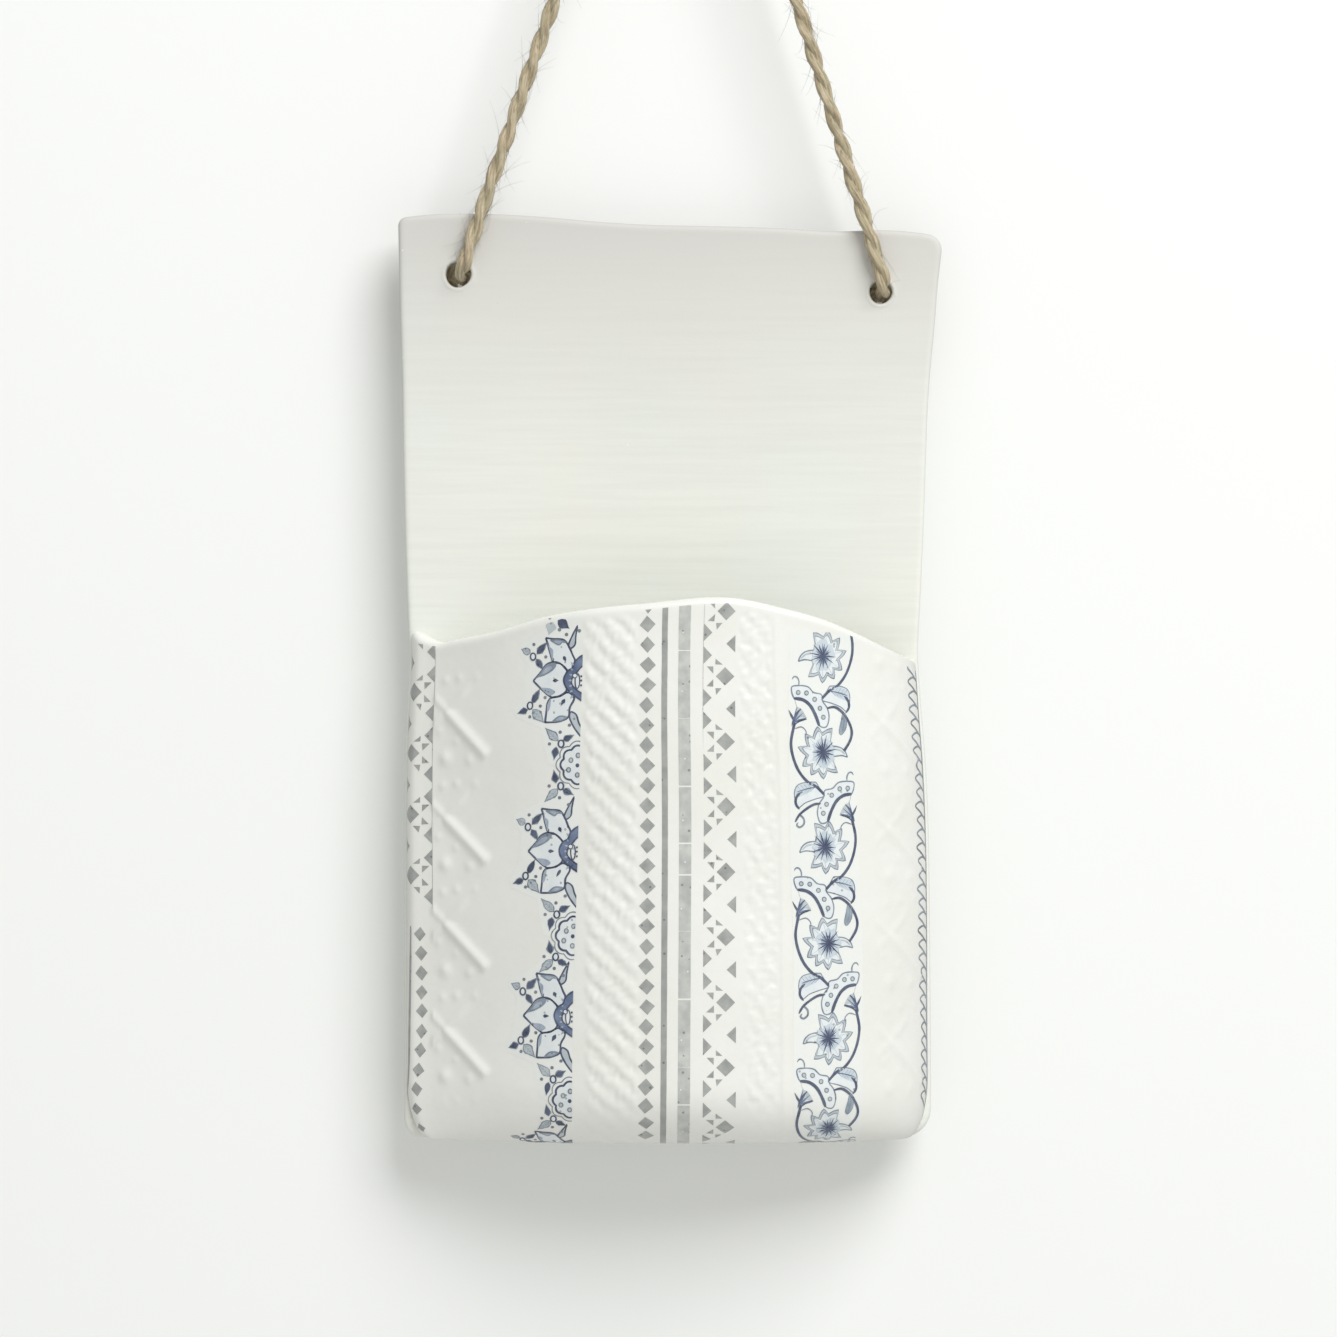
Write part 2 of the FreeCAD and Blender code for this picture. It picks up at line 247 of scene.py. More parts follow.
# %% [markdown]
# ### Shared effects
# *Mottle* is soft noise for the slight unevenness of clay, ink and fibre. *Streaks* is the same
# noise drawn out sideways, like the marks of a damp sponge wiped over the slab. *Specks* scatters
# a few tiny dots, as iron does in fired clay.

# %% Shared effects
mottle, into, out = new_group(
    "mottle", [("Vector", ARROW, None), ("Size", NUMBER, 1.0)], [("Value", NUMBER)]
)
per_metre = maths(mottle, "DIVIDE", 1 / MM, into["Size"])
inputs = {"Vector": into["Vector"], "Scale": per_metre, "Detail": 3.0}
soft = node(mottle, "ShaderNodeTexNoise", inputs).outputs[0]
mottle.links.new(span(mottle, soft, 0.3, 0.7, 0.0, 1.0), out["Value"])

streaks, into, out = new_group(
    "streaks",
    [("Vector", ARROW, None), ("Length", NUMBER, 20.0), ("Width", NUMBER, 0.8)],
    [("Value", NUMBER)],
)
lengthwise = maths(streaks, "DIVIDE", 1 / MM, into["Length"])
widthwise = maths(streaks, "DIVIDE", 1 / MM, into["Width"])
stretch = node(streaks, "ShaderNodeCombineXYZ", {0: lengthwise, 1: widthwise, 2: widthwise})
inputs = {0: into["Vector"], 1: stretch.outputs[0]}
drawn = node(streaks, "ShaderNodeVectorMath", inputs, operation="MULTIPLY").outputs[0]
wiped = node(streaks, "ShaderNodeTexNoise", {"Vector": drawn, "Scale": 1.0, "Detail": 4.0})
streaks.links.new(wiped.outputs[0], out["Value"])

sockets = [("Vector", ARROW, None)]
sockets += [("Spacing", NUMBER, 3.0), ("Size", NUMBER, 0.1), ("Share", NUMBER, 0.2)]
specks, into, out = new_group("specks", sockets, [("Mask", NUMBER)])
per_metre = maths(specks, "DIVIDE", 1 / MM, into["Spacing"])
cells = node(specks, "ShaderNodeTexVoronoi", {"Vector": into["Vector"], "Scale": per_metre})
near = maths(specks, "LESS_THAN", cells.outputs["Distance"], into["Size"])
pick = node(specks, "ShaderNodeSeparateColor", {0: cells.outputs["Color"]})
chosen = maths(specks, "LESS_THAN", pick.outputs[0], into["Share"])
specks.links.new(maths(specks, "MULTIPLY", near, chosen), out["Mask"])


def mottled(tree, where, size):
    """Soft noise from 0 to 1 with patches of about this size."""
    return use_group(tree, mottle, {"Vector": where, "Size": size})["Value"]


def specked(tree, where, spacing, size, share):
    """A mask of tiny dots: how far apart, how large for that, and at what share of the places."""
    inputs = {"Vector": where, "Spacing": spacing, "Size": size, "Share": share}
    return use_group(tree, specks, inputs)["Mask"]


# %% [markdown]
# ## Jute
# Jute is a dry, coarse fibre. Its strands are twisted from long pale and brown hairs, so the
# colour is noise drawn out along the strand: each strand's UV map runs once round it and once
# along it. The same noise lifts the fibres with a Bump node.

# %% Jute material
TWINE_LENGTH = 265.0
STRAND_GIRTH = 5.0

jute, tree, shader = new_material("jute")
along_strand = node(tree, "ShaderNodeTexCoord").outputs["UV"]
stretch = (STRAND_GIRTH * 2.6, TWINE_LENGTH * 0.2, 1.0)
drawn = node(tree, "ShaderNodeMapping", {0: along_strand, 3: stretch}).outputs[0]
inputs = {0: drawn, "Scale": 1.0, "Detail": 6.0, "Roughness": 0.78}
fibres = node(tree, "ShaderNodeTexNoise", inputs).outputs[0]
ramp = node(tree, "ShaderNodeValToRGB", {0: fibres})
stops = ramp.color_ramp.elements
stops[0].position = 0.3
stops[0].color = colour(122, 106, 80)
stops[1].position = 0.7
stops[1].color = colour(250, 240, 224)
stops.new(0.5).color = colour(214, 199, 171)
patches = mottled(tree, on_object(tree), 4.0)
cooler = blend_colours(tree, patches, colour(236, 238, 226), colour(255, 250, 242))
fibre_colour = blend_colours(tree, 1.0, ramp.outputs[0], cooler, "MULTIPLY")
feed(tree, shader, {"Base Color": fibre_colour, "Roughness": 0.82, "Specular IOR Level": 0.25})
feed(tree, shader, {"Sheen Weight": 0.25, "Sheen Roughness": 0.5})
bump(tree, shader, fibres, 0.5)

# %% [markdown]
# ## The twine
# The twine leaves one hole, runs straight up to the nail, turns over it, and runs straight down to
# the other hole, because the vase's weight pulls both legs tight. Its route is a NURBS line with
# the CAD route's points as control points. One point 17 mm from the nail on each leg keeps the
# turn over the nail small, and one close to each hole does the same where the twine turns in.

# %% Route of the twine
TWINE_STEP = 0.42
LEFT_HOLE = (-43.1, -113.25, 2.4)
RIGHT_HOLE = (38.45, -116.65, 2.15)

TWINE_ROUTE = (
    (-43.1, 8.6, -113.35),
    (-42.6, -1.4, -113.9),
    (-39.9, -0.1, -104.6),
    (-8.4, 0.0, -14.6),
    (-2.75, 0.0, 1.4),
    (2.75, 0.0, 1.4),
    (7.95, 0.0, -14.9),
    (36.75, -0.1, -107.3),
    (39.7, -1.4, -117.2),
    (38.45, 8.6, -116.75),
)


def read_route(name, corners):
    """Points in millimetres along the NURBS line that has these corners as control points."""
    data = bpy.data.curves.new(name, "CURVE")
    data.dimensions = "3D"
    line = data.splines.new("NURBS")
    line.points.add(len(corners) - 1)
    for point, corner in zip(line.points, corners):
        point.co = (*[MM * value for value in corner], 1.0)
    line.order_u = 3
    line.use_endpoint_u = True
    line.resolution_u = 40
    carrier = bpy.data.objects.new(name, data)
    made = bpy.data.meshes.new_from_object(carrier)
    points = np.array([vert.co / MM for vert in made.vertices])
    bpy.data.objects.remove(carrier)
    bpy.data.meshes.remove(made)
    return points


def walk(points, step):
    """The same line in equal steps, with the distance walked at each."""
    runs = np.linalg.norm(np.diff(points, axis=0), axis=1)
    reach = np.concatenate(([0.0], np.cumsum(runs)))
    marks = np.linspace(0.0, reach[-1], round(reach[-1] / step) + 1)
    return np.stack([np.interp(marks, reach, points[:, axis]) for axis in range(3)], axis=1), marks


def frames_along(points):
    """For each point of a line: the way on, and two directions across it that never twist."""
    ways = [Vector(way).normalized() for way in np.gradient(points, axis=0)]
    side = ways[0].orthogonal().normalized()
    found = []
    for way in ways:
        side = (side - way * side.dot(way)).normalized()
        found.append((way, side, way.cross(side)))
    return found


twine_points, twine_marks = walk(read_route("twine_route", TWINE_ROUTE), TWINE_STEP)
print("twine from knot to knot:", round(float(twine_marks[-1]), 1), "mm")

# %% [markdown]
# ### Two strands, twisted
# The twine has two strands laid up to the left, which shows as a groove from upper left to lower
# right every 6.4 mm. Each strand is a grid rolled into a tube round a helix that follows the
# route. Noise makes the strand lumpy, as spun fibre is: broad lumps, and finer ones that wind
# round it with the yarn. The grid's long edges are then welded.

# %% Strands
LAY = 12.8
STRAND_OFFSET = 0.6
STRAND_RADIUS = 0.88
STRAND_SIDES = 28
BROAD_LUMPS = (1.6, 0.35, 0.13)
FINE_LUMPS = (4.2, 0.22, 0.11)
YARN_TWIST = 0.55
WELD = 1e-4


def lay_strand(mesh, points, marks, phase, tight=1.0):
    """One strand of the twine along a line, as a lumpy tube round a left-handed helix."""
    centres = []
    for point, mark, (_, side, up) in zip(points, marks, frames_along(points)):
        turn = phase - math.tau * mark / LAY
        offset = STRAND_OFFSET * tight
        centres.append(Vector(point) + offset * (math.cos(turn) * side + math.sin(turn) * up))
    rims = frames_along(np.array(centres))

    def place(column, row):
        _, side, up = rims[row]
        angle = math.tau * column / STRAND_SIDES
        yarn = angle + YARN_TWIST * marks[row]
        lump = 0.0
        for (across, along, rise), turn in ((BROAD_LUMPS, angle), (FINE_LUMPS, yarn)):
            x, y = across * math.cos(turn) + phase, across * math.sin(turn)
            lump += rise * noise.noise((x, y, along * marks[row]))
        end = min(row, len(centres) - 1 - row)
        radius = (STRAND_RADIUS * tight + lump) * min(1.0, 0.45 + 0.2 * end)
        return centres[row] + radius * (math.cos(angle) * side + math.sin(angle) * up)

    made = grid_of(mesh, STRAND_SIDES, len(centres) - 1, place)
    uv = mesh.loops.layers.uv.active
    for face in {face for vert in made for face in vert.link_faces}:
        for loop in face.loops:
            loop[uv].uv.y *= float(marks[-1]) / TWINE_LENGTH
    bmesh.ops.remove_doubles(mesh, verts=made, dist=WELD)


def close_ends(mesh):
    """Close the open ends of every tube."""
    open_edges = [edge for edge in mesh.edges if edge.is_boundary]
    bmesh.ops.holes_fill(mesh, edges=open_edges, sides=STRAND_SIDES + 2)


mesh = start_mesh()
for phase in (0.6, 0.6 + math.pi):
    lay_strand(mesh, twine_points, twine_marks, phase)
close_ends(mesh)
twine = hand_in(mesh, "twine", [jute])

# %% [markdown]
# ### Stray fibres
# Jute is hairy. Hundreds of short fibres leave the strands at a low angle and curl away. Each
# is a very thin three-sided tube on a bent line, which is enough for something 0.1 mm thick.
# The random numbers are seeded, so that each run grows the same hairs.

# %% Fuzz
HAIR_COUNT = 900
HAIR_STEPS = 6
HAIR_RADIUS = 0.045
HAIR_LENGTHS = (1.2, 1.8, 2.4, 3.2, 4.2, 6.0)
HAIR_DEPTH = 1.2
BARE_END = 6.0


def add_hair(mesh, root, heading, bend, length):
    """One thin tapered fibre that starts along heading and bends."""
    shares = np.linspace(0, 1, HAIR_STEPS + 1)
    steps = [root + heading * (length * t) + bend * (length * t * t) for t in shares]
    across = frames_along(np.array(steps))

    def place(column, row):
        _, side, up = across[row]
        angle = math.tau * column / 3
        radius = HAIR_RADIUS * (1.0 - 0.75 * row / HAIR_STEPS)
        return steps[row] + radius * (math.cos(angle) * side + math.sin(angle) * up)

    made = grid_of(mesh, 3, HAIR_STEPS, place)
    bmesh.ops.remove_doubles(mesh, verts=made, dist=1e-5)


def grow_fuzz(mesh, points, count, first, last, depth, lengths):
    """Stray fibres between two points of a line, rooted at a depth from its middle."""
    frames = frames_along(points)
    for _ in range(count):
        index = random.randint(first, last)
        way, side, up = frames[index]
        angle = random.uniform(0, math.tau)
        outward = math.cos(angle) * side + math.sin(angle) * up
        along = way * random.choice((-1, 1)) if first < last else way
        tangent = along.cross(outward)
        aside = outward * random.uniform(0.12, 0.55) + tangent * random.uniform(-0.4, 0.4)
        curl = Vector([random.uniform(-0.5, 0.5) for _ in range(3)])
        root = Vector(points[index]) + outward * depth * random.uniform(0.9, 1.0)
        add_hair(mesh, root, (along + aside).normalized(), curl, random.choice(lengths))


random.seed(7)
mesh = start_mesh()
first = int(BARE_END / TWINE_STEP)
last = len(twine_points) - 1 - first
grow_fuzz(mesh, twine_points, HAIR_COUNT, first, last, HAIR_DEPTH, HAIR_LENGTHS)
close_ends(mesh)
twine_fuzz = hand_in(mesh, "twine_fuzz", [jute])

# %% [markdown]
# ### Stopper knots
# Behind each hole the twine is tied in an overhand knot that can't pull through, and its frayed
# tail hangs down. The knot's line goes round its middle six points to a turn, and the points are in
# turn at the inside, away from the slab, at the outside, and against the slab. That weave is what
# makes an overhand knot. The same two strands follow it, pulled a little tighter.

# %% Knots
KNOT_MIDDLE = 9.25
KNOT_ROUND = 2.75
KNOT_SPREAD = 1.25
KNOT_DEPTH = 1.75
KNOT_POINTS = 10
KNOT_START = 264
BORE_MIDDLE = 6.6
KNOT_TAIL = ((4.6, -0.6, 4.2), (4.2, -1.0, 8.0), (5.2, -0.4, 11.2))
KNOT_TIGHTNESS = 0.86
KNOT_HAIRS = (110, 1.05, (0.9, 1.3, 1.7, 2.2))
FRAYED_HAIRS = (22, (0.2, 0.5, 0.8, 1.05), (1.6, 2.2, 2.8, 3.6))


def knot_route(side, hole):
    """Control points of one knot, from the bore to the end of the tail."""
    across, level, _ = hole
    corners = [(across, BORE_MIDDLE, level)]
    for step in range(1, KNOT_POINTS + 1):
        angle = math.radians(KNOT_START - 60 * step)
        state = (math.pi / 2) * step
        radius = KNOT_ROUND - KNOT_SPREAD * math.cos(state)
        x = across + side * radius * math.cos(angle)
        y = KNOT_MIDDLE + KNOT_DEPTH * math.sin(state)
        corners.append((x, y, level + radius * math.sin(angle)))
    for aside, away, drop in KNOT_TAIL:
        corners.append((across + side * aside, KNOT_MIDDLE + away, level - drop))
    return corners


def tie_knot(name, side, hole):
    """A knot of the same two strands, with hairs all over and a frayed end."""
    points, marks = walk(read_route(name, knot_route(side, hole)), TWINE_STEP)
    mesh = start_mesh()
    for phase in (0.0, math.pi):
        lay_strand(mesh, points, marks, phase, KNOT_TIGHTNESS)
    end = len(points) - 1
    count, depth, lengths = KNOT_HAIRS
    grow_fuzz(mesh, points, count, 30, end - 2, depth, lengths)
    count, depths, lengths = FRAYED_HAIRS
    for depth in depths:
        grow_fuzz(mesh, points, count, end - 1, end - 1, depth, lengths)
    close_ends(mesh)
    print(name, "holds", round(float(marks[-1]), 1), "mm of twine")
    return hand_in(mesh, name, [jute])


left_twist = tie_knot("knot_left", -1, LEFT_HOLE)
right_twist = tie_knot("knot_right", 1, RIGHT_HOLE)
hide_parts("left_knot")
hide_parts("right_knot")
for knot in (left_twist, right_twist):
    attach(knot, "vase")

# %% [markdown]
# ### The twine in place
# The vase can swing forwards about the line through its two holes, while the twine stays on its
# nail. Here the twine and its hairs keep the places they were drawn in, and the CAD model's own
# twine is hidden. The knots belong to the body *vase*.

# %% The twine in place
for piece in (twine, twine_fuzz):
    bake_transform(piece)
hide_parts("hanging_twine")

# %% [markdown]
# ## Bare clay
# The back slab was left unglazed. Fired porcelain without glaze is silky and slightly warm. It
# keeps the marks of the sponge, so the colour is wiped sideways by *streaks*, with a few specks.
# Towards its top edge the colour is painted greyer: painted shade where the top edge leans away
# from the light.

# %% Bisque material
bisque, tree, shader = new_material("bisque")
where = on_object(tree)
wiped = use_group(tree, streaks, {"Vector": where, "Length": 26.0, "Width": 1.1})["Value"]
shade = span(tree, wiped, 0.35, 0.65, 0.0, 1.0)
tone = blend_colours(tree, shade, colour(236, 237, 231), colour(240, 241, 235))
broad = mottled(tree, where, 34.0)
warmth = blend_colours(tree, broad, colour(255, 253, 250), colour(252, 255, 253))
tone = blend_colours(tree, 1.0, tone, warmth, "MULTIPLY")
# Painted shade: the colour darkens over the slab's top band, standing in for the top edge leaning
# away from the light.
heights = node(tree, "ShaderNodeSeparateXYZ", {0: where}).outputs[2]
painted_top_shade = maths(tree, "POWER", span(tree, heights, -0.165, -0.101, 0.0, 1.0), 1.6)
tone = blend_colours(tree, painted_top_shade, tone, colour(210, 208, 203))
pale_dots = specked(tree, where, 6.0, 0.022, 0.3)
tone = blend_colours(tree, pale_dots, tone, colour(250, 250, 247))
dark_dots = maths(tree, "MULTIPLY", specked(tree, where, 9.0, 0.012, 0.2), 0.4)
tone = blend_colours(tree, dark_dots, tone, colour(160, 157, 150))
feed(tree, shader, {"Base Color": tone, "Roughness": 0.52, "Specular IOR Level": 0.35})
grain = maths(tree, "MULTIPLY", mottled(tree, where, 0.6), 0.12)
relief = maths(tree, "ADD", maths(tree, "MULTIPLY", wiped, 0.5), grain)
bump(tree, shader, relief, 0.06, 0.5)

# %% [markdown]
# ## The back slab
# The slab is a rolled sheet of clay cut with a knife, so its sides are not quite straight and its
# top edge runs in a slow wave down to the right. Its two faces are the same grid, warped to an
# outline through listed points. The lines next to the edge lie close together and step back
# along a quarter circle, which rounds the edge. The edges of the two grids are bridged.

# %% Outline of the slab
FACE = 1.6
BACK = 6.0
TOP = 102.0
FOOT = 279.8
EDGE_ROUND = 0.9
EDGE_ZONE = 6.0
NOMINAL_WIDTH = 102.0
NOMINAL_HEIGHT = 177.0

LEFT_EDGE = (
    (103.2, -54.7), (119.2, -54.4), (134.6, -53.95), (150.0, -53.7), (165.5, -53.35),
    (180.9, -52.8), (187.0, -52.55), (195.3, -52.95), (206.0, -53.4), (234.8, -53.5),
    (265.6, -53.55), (279.8, -53.5),
)
RIGHT_EDGE = (
    (106.0, 50.6), (115.4, 49.5), (123.1, 48.9), (130.8, 48.15), (138.5, 47.6), (146.2, 47.3),
    (161.6, 46.8), (177.0, 46.1), (186.0, 45.7), (195.3, 46.2), (207.8, 47.2), (223.3, 47.8),
    (269.5, 48.2), (279.8, 48.1),
)
TOP_EDGE = (
    (-54.7, 102.2), (-46.9, 101.5), (-36.5, 101.5), (-26.1, 102.1), (-15.7, 103.0), (-5.3, 103.6),
    (5.1, 103.8), (19.0, 104.2), (29.4, 104.8), (39.8, 104.6), (46.7, 105.2), (50.6, 106.0),
)
CORNERS = {(0, 0): 1.6, (1, 0): 2.9, (0, 1): 3.5, (1, 1): 5.6}


def edge_steps(length, gap):
    """Distances along one side: close together near its ends, even between them."""
    close = [0.0, 0.1, 0.27, 0.52, EDGE_ROUND, 1.5]
    free = length - 2 * close[-1]
    count = round(free / gap)
    even = [close[-1] + free * i / count for i in range(1, count)]
    return close + even + [length - step for step in reversed(close)]


def soften_corner(a, b):
    """Turn the corner of a square into a quarter circle; a and b run from 0 to 1 at the corner."""
    return a * math.sqrt(1 - b * b / 2), b * math.sqrt(1 - a * a / 2)


def slab_point(across, down):
    """A point of the slab's outline sheet from its distance across and down at nominal size."""
    side = 0 if across / NOMINAL_WIDTH < 0.5 else 1
    end = 0 if down / NOMINAL_HEIGHT < 0.5 else 1
    from_side = across if side == 0 else NOMINAL_WIDTH - across
    from_end = down if end == 0 else NOMINAL_HEIGHT - down
    depth = min(from_side, from_end)
    size = CORNERS[side, end]
    if from_side < size and from_end < size:
        a, b = soften_corner(1 - from_side / size, 1 - from_end / size)
        depth = size * (1 - math.hypot(a, b))
        from_side, from_end = size * (1 - a), size * (1 - b)
    inner_width = NOMINAL_WIDTH - 2 * EDGE_ZONE
    inner_height = NOMINAL_HEIGHT - 2 * EDGE_ZONE
    level = TOP + down
    x = 0.0
    for _ in range(2):
        left, right = smooth_line(LEFT_EDGE, level), smooth_line(RIGHT_EDGE, level)
        if from_side < EDGE_ZONE:
            x = left + from_side if side == 0 else right - from_side
        else:
            width = right - left - 2 * EDGE_ZONE
            x = left + EDGE_ZONE + (across - EDGE_ZONE) / inner_width * width
        top = smooth_line(TOP_EDGE, x)
        if from_end < EDGE_ZONE:
            level = top + from_end if end == 0 else FOOT - from_end
        else:
            height = FOOT - top - 2 * EDGE_ZONE
            level = top + EDGE_ZONE + (down - EDGE_ZONE) / inner_height * height
    back_step = 0.0
    if depth < EDGE_ROUND:
        back_step = EDGE_ROUND - math.sqrt(EDGE_ROUND ** 2 - (EDGE_ROUND - depth) ** 2)
    return x, level, back_step


columns = edge_steps(NOMINAL_WIDTH, 1.0)
rows = edge_steps(NOMINAL_HEIGHT, 1.0)
print("the slab's grid:", len(columns), "by", len(rows), "points")

# %% [markdown]
# ### Two faces and an edge
# A hand-rolled sheet never dries quite flat, so a slow wave runs through the slab. It fades out
# above the pocket, because the slab lies flat where the pocket joins it.

# %% Faces of the slab
WAVE_LENGTH = 38.0
WAVE_HEIGHT = 0.42
WAVE_END = 150.0
WAVE_FADE = 30.0


def clay_wave(x, level):
    """How far the slab wanders off flat."""
    free = 1.0 - ease((level - WAVE_END) / WAVE_FADE)
    return free * WAVE_HEIGHT * noise.noise((x / WAVE_LENGTH, level / WAVE_LENGTH, 1.7))


def slab_face(front):
    """place() for one face of the slab; the back face runs the other way, to face backwards."""
    def place(column, row):
        if not front:
            column = len(columns) - 1 - column
        x, level, back_step = slab_point(columns[column], rows[len(rows) - 1 - row])
        wave = clay_wave(x, level)
        y = FACE + wave + back_step if front else BACK + wave - back_step
        return Vector((x, y, -level))
    return place


mesh = start_mesh()
grid_of(mesh, len(columns) - 1, len(rows) - 1, slab_face(True))
grid_of(mesh, len(columns) - 1, len(rows) - 1, slab_face(False))
rim_edges = [edge for edge in mesh.edges if edge.is_boundary]
bmesh.ops.bridge_loops(mesh, edges=rim_edges)
print("slab faces before the holes:", len(mesh.faces))

# %% [markdown]
# ### The two holes
# A potter pierces the soft clay with a tube, which leaves a smooth bore with a slightly raised,
# rounded lip. A square patch of each grid is deleted, and the hole's profile is drawn inwards
# from the patch by extruding its border ring by ring, from the flat to the lip and into the bore.
# Then the front and back rings are bridged into one bore.

# %% Pierce the holes
PATCH = 4.6
LIP_PROFILE = (
    (1.15, 0.0), (0.85, -0.06), (0.6, -0.15), (0.36, -0.15), (0.17, -0.02), (0.05, 0.22),
    (0.0, 0.55),
)


def pierce(mesh, hole):
    """Open one hole through both faces of the slab."""
    across, level, radius = hole
    middle = (FACE + BACK) / 2
    inner_rings = []
    for front in (True, False):
        def in_patch(face):
            x, y, z = face.calc_center_median()
            near_hole = max(abs(x - across), abs(z - level)) < PATCH
            return (y < middle) == front and near_hole

        patch = [face for face in mesh.faces if in_patch(face)]
        bmesh.ops.delete(mesh, geom=patch, context="FACES")
        ring = [edge for edge in mesh.edges if edge.is_boundary]
        ring = [edge for edge in ring if (edge.verts[0].co.y < middle) == front]
        inward = 1 if front else -1
        surface = (FACE if front else BACK) + clay_wave(across, -level)
        for outset, step in LIP_PROFILE:
            grown = bmesh.ops.extrude_edge_only(mesh, edges=ring)["geom"]
            ring = [part for part in grown if isinstance(part, bmesh.types.BMEdge)]
            ring = [edge for edge in ring if edge.is_boundary]
            for vert in {vert for edge in ring for vert in edge.verts}:
                angle = math.atan2(vert.co.z - level, vert.co.x - across)
                reach = (radius + outset) * (1.0 + 0.02 * math.sin(3 * angle + across))
                vert.co.x = across + reach * math.cos(angle)
                vert.co.y = surface + inward * step
                vert.co.z = level + reach * math.sin(angle)
        inner_rings += ring
    bmesh.ops.bridge_loops(mesh, edges=inner_rings)


for hole in (LEFT_HOLE, RIGHT_HOLE):
    pierce(mesh, hole)
open_edges = sum(edge.is_boundary for edge in mesh.edges)
bmesh.ops.recalc_face_normals(mesh, faces=mesh.faces)
print("slab edges left open:", open_edges)
slab = hand_in(mesh, "slab", [bisque])
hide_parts("back_slab")
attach(slab, "vase")

# %% [markdown]
# ## Glaze
# The pocket's clear glaze over white porcelain is a smooth coat over a soft, pale body, so the
# material has a coat of its own. A slow unevenness in the coat breaks up long reflections, and
# the glaze pools a little warmer in places.

# %% Glaze material
def glossy(tree, shader, where, tone):
    """A tone under the clear glaze that lies over the whole pocket, prints included."""
    feed(tree, shader, {"Base Color": tone, "Roughness": 0.4})
    feed(tree, shader, {"Coat Weight": 0.8, "Coat Roughness": 0.12, "Coat IOR": 1.5})
    bump(tree, shader, mottled(tree, where, 7.0), 0.05)


glaze, tree, shader = new_material("glaze")
where = on_object(tree)
tone = blend_colours(tree, mottled(tree, where, 22.0), colour(240, 240, 233), colour(246, 246, 241))
fine = maths(tree, "MULTIPLY", mottled(tree, where, 1.6), 0.12)
tone = blend_colours(tree, fine, tone, colour(226, 226, 216))
glossy(tree, shader, where, tone)

# %% [markdown]
# ## The pocket
# The pocket is one sheet of clay laid on the slab. Its left edge was pressed down, so the wall
# starts nearly flat there and swells slowly, and on the right it turns away quickly. At the foot
# it rolls under. The whole pocket is one grid, like the sheet it was made from: its rows run from
# the slab out along the underside, up round the roll, up the wall, over the rim, down the inside
# and back along the floor to the slab.

# %% Shape of the wall
MOUTH_LEVEL = 173.8
ROLL_LEVEL = 267.8
ROLL_SIZE = FOOT - ROLL_LEVEL
MOUTH_DEPTH = 24.0
FOOT_DEPTH = 23.0
WALL = 2.7
FLOOR = 3.4
SEAM_INSET = 0.55
BURIED = 0.25
FOOT_NARROWING = 4.4
PRESSED_EDGE = 2.6
EDGE_SHARE = 0.035
INSIDE_NARROWING = 0.8
INSIDE_DEPTH = 1.05
DEEPEST_INSIDE = -0.8
LEFT_SWELL = 1.35
RIGHT_SWELL = 0.55

RIM_LINE = (
    (-52.3, 182.0), (-47.4, 184.1), (-44.0, 183.6), (-35.6, 182.0), (-25.4, 179.2), (-14.3, 177.6),
    (-6.4, 176.9), (-0.7, 176.3), (5.0, 175.8), (10.8, 176.0), (18.7, 177.6), (27.1, 179.8),
    (34.2, 182.6), (39.8, 185.2), (45.4, 187.6),
)


def bulge(share, reach):
    """How far the wall stands out at a share of the half width; its crest stands out by reach."""
    hollow = max(0.0, 1 - share * share)
    if share > 0:
        return reach * hollow ** RIGHT_SWELL
    edge = min(1.0, (1 - abs(share)) / EDGE_SHARE)
    pressed = PRESSED_EDGE * math.sqrt(1 - (1 - edge) ** 2)
    return pressed + (reach - PRESSED_EDGE) * hollow ** LEFT_SWELL


def seam(level):
    """Left and right ends of the pocket at a level."""
    return smooth_line(LEFT_EDGE, level) + SEAM_INSET, smooth_line(RIGHT_EDGE, level) - SEAM_INSET


def wall_point(share, level, angle=0.0, inner=False):
    """A point of the wall. The angle runs from 0 on the wall to a quarter turn under the roll."""
    left, right = seam(level)
    tuck = 1 - math.cos(angle)
    descent = min(1.0, (level - MOUTH_LEVEL) / (ROLL_LEVEL - MOUTH_LEVEL))
    reach = MOUTH_DEPTH + (FOOT_DEPTH - MOUTH_DEPTH) * descent
    pull = FOOT_NARROWING * tuck * abs(share) ** 5 * math.copysign(1, share)
    half = (right - left) / 2
    x = (left + right) / 2 + half * share - pull
    depth = bulge(share, reach - ROLL_SIZE * tuck)
    if inner:
        x -= WALL * share * INSIDE_NARROWING
        depth = max(depth - WALL * INSIDE_DEPTH, DEEPEST_INSIDE)
        drop = ROLL_LEVEL + (ROLL_SIZE - FLOOR) * math.sin(angle) if angle else level
    else:
        drop = ROLL_LEVEL + ROLL_SIZE * math.sin(angle) if angle else level
        depth -= BURIED * (1 - min(1.0, depth / 0.6))
    return np.array((x, FACE - depth, -drop))


# %% [markdown]
# ### Where the columns go
# Round the pocket, distance is measured along the wall's own section, the way a paper print lies
# on it. `spot` finds what place on the wall a point of the photograph shows. The columns stand
# 0.36 mm apart where lace and rope were pressed into the clay, because that relief is only a
# millimetre wide, and 0.9 mm apart where the wall is plain.

# %% Distances round the wall
shares = np.linspace(-1, 1, 2001)
section = np.array([wall_point(share, 230.0) for share in shares])
section_runs = np.linalg.norm(np.diff(section, axis=0), axis=1)
section_reach = np.concatenate(([0.0], np.cumsum(section_runs)))
GIRTH = float(section_reach[-1])
print("the wall's girth:", round(GIRTH, 1), "mm")


def around_at(share):
    """Distance round the wall at a share of its half width."""
    return float(np.interp(share, shares, section_reach))


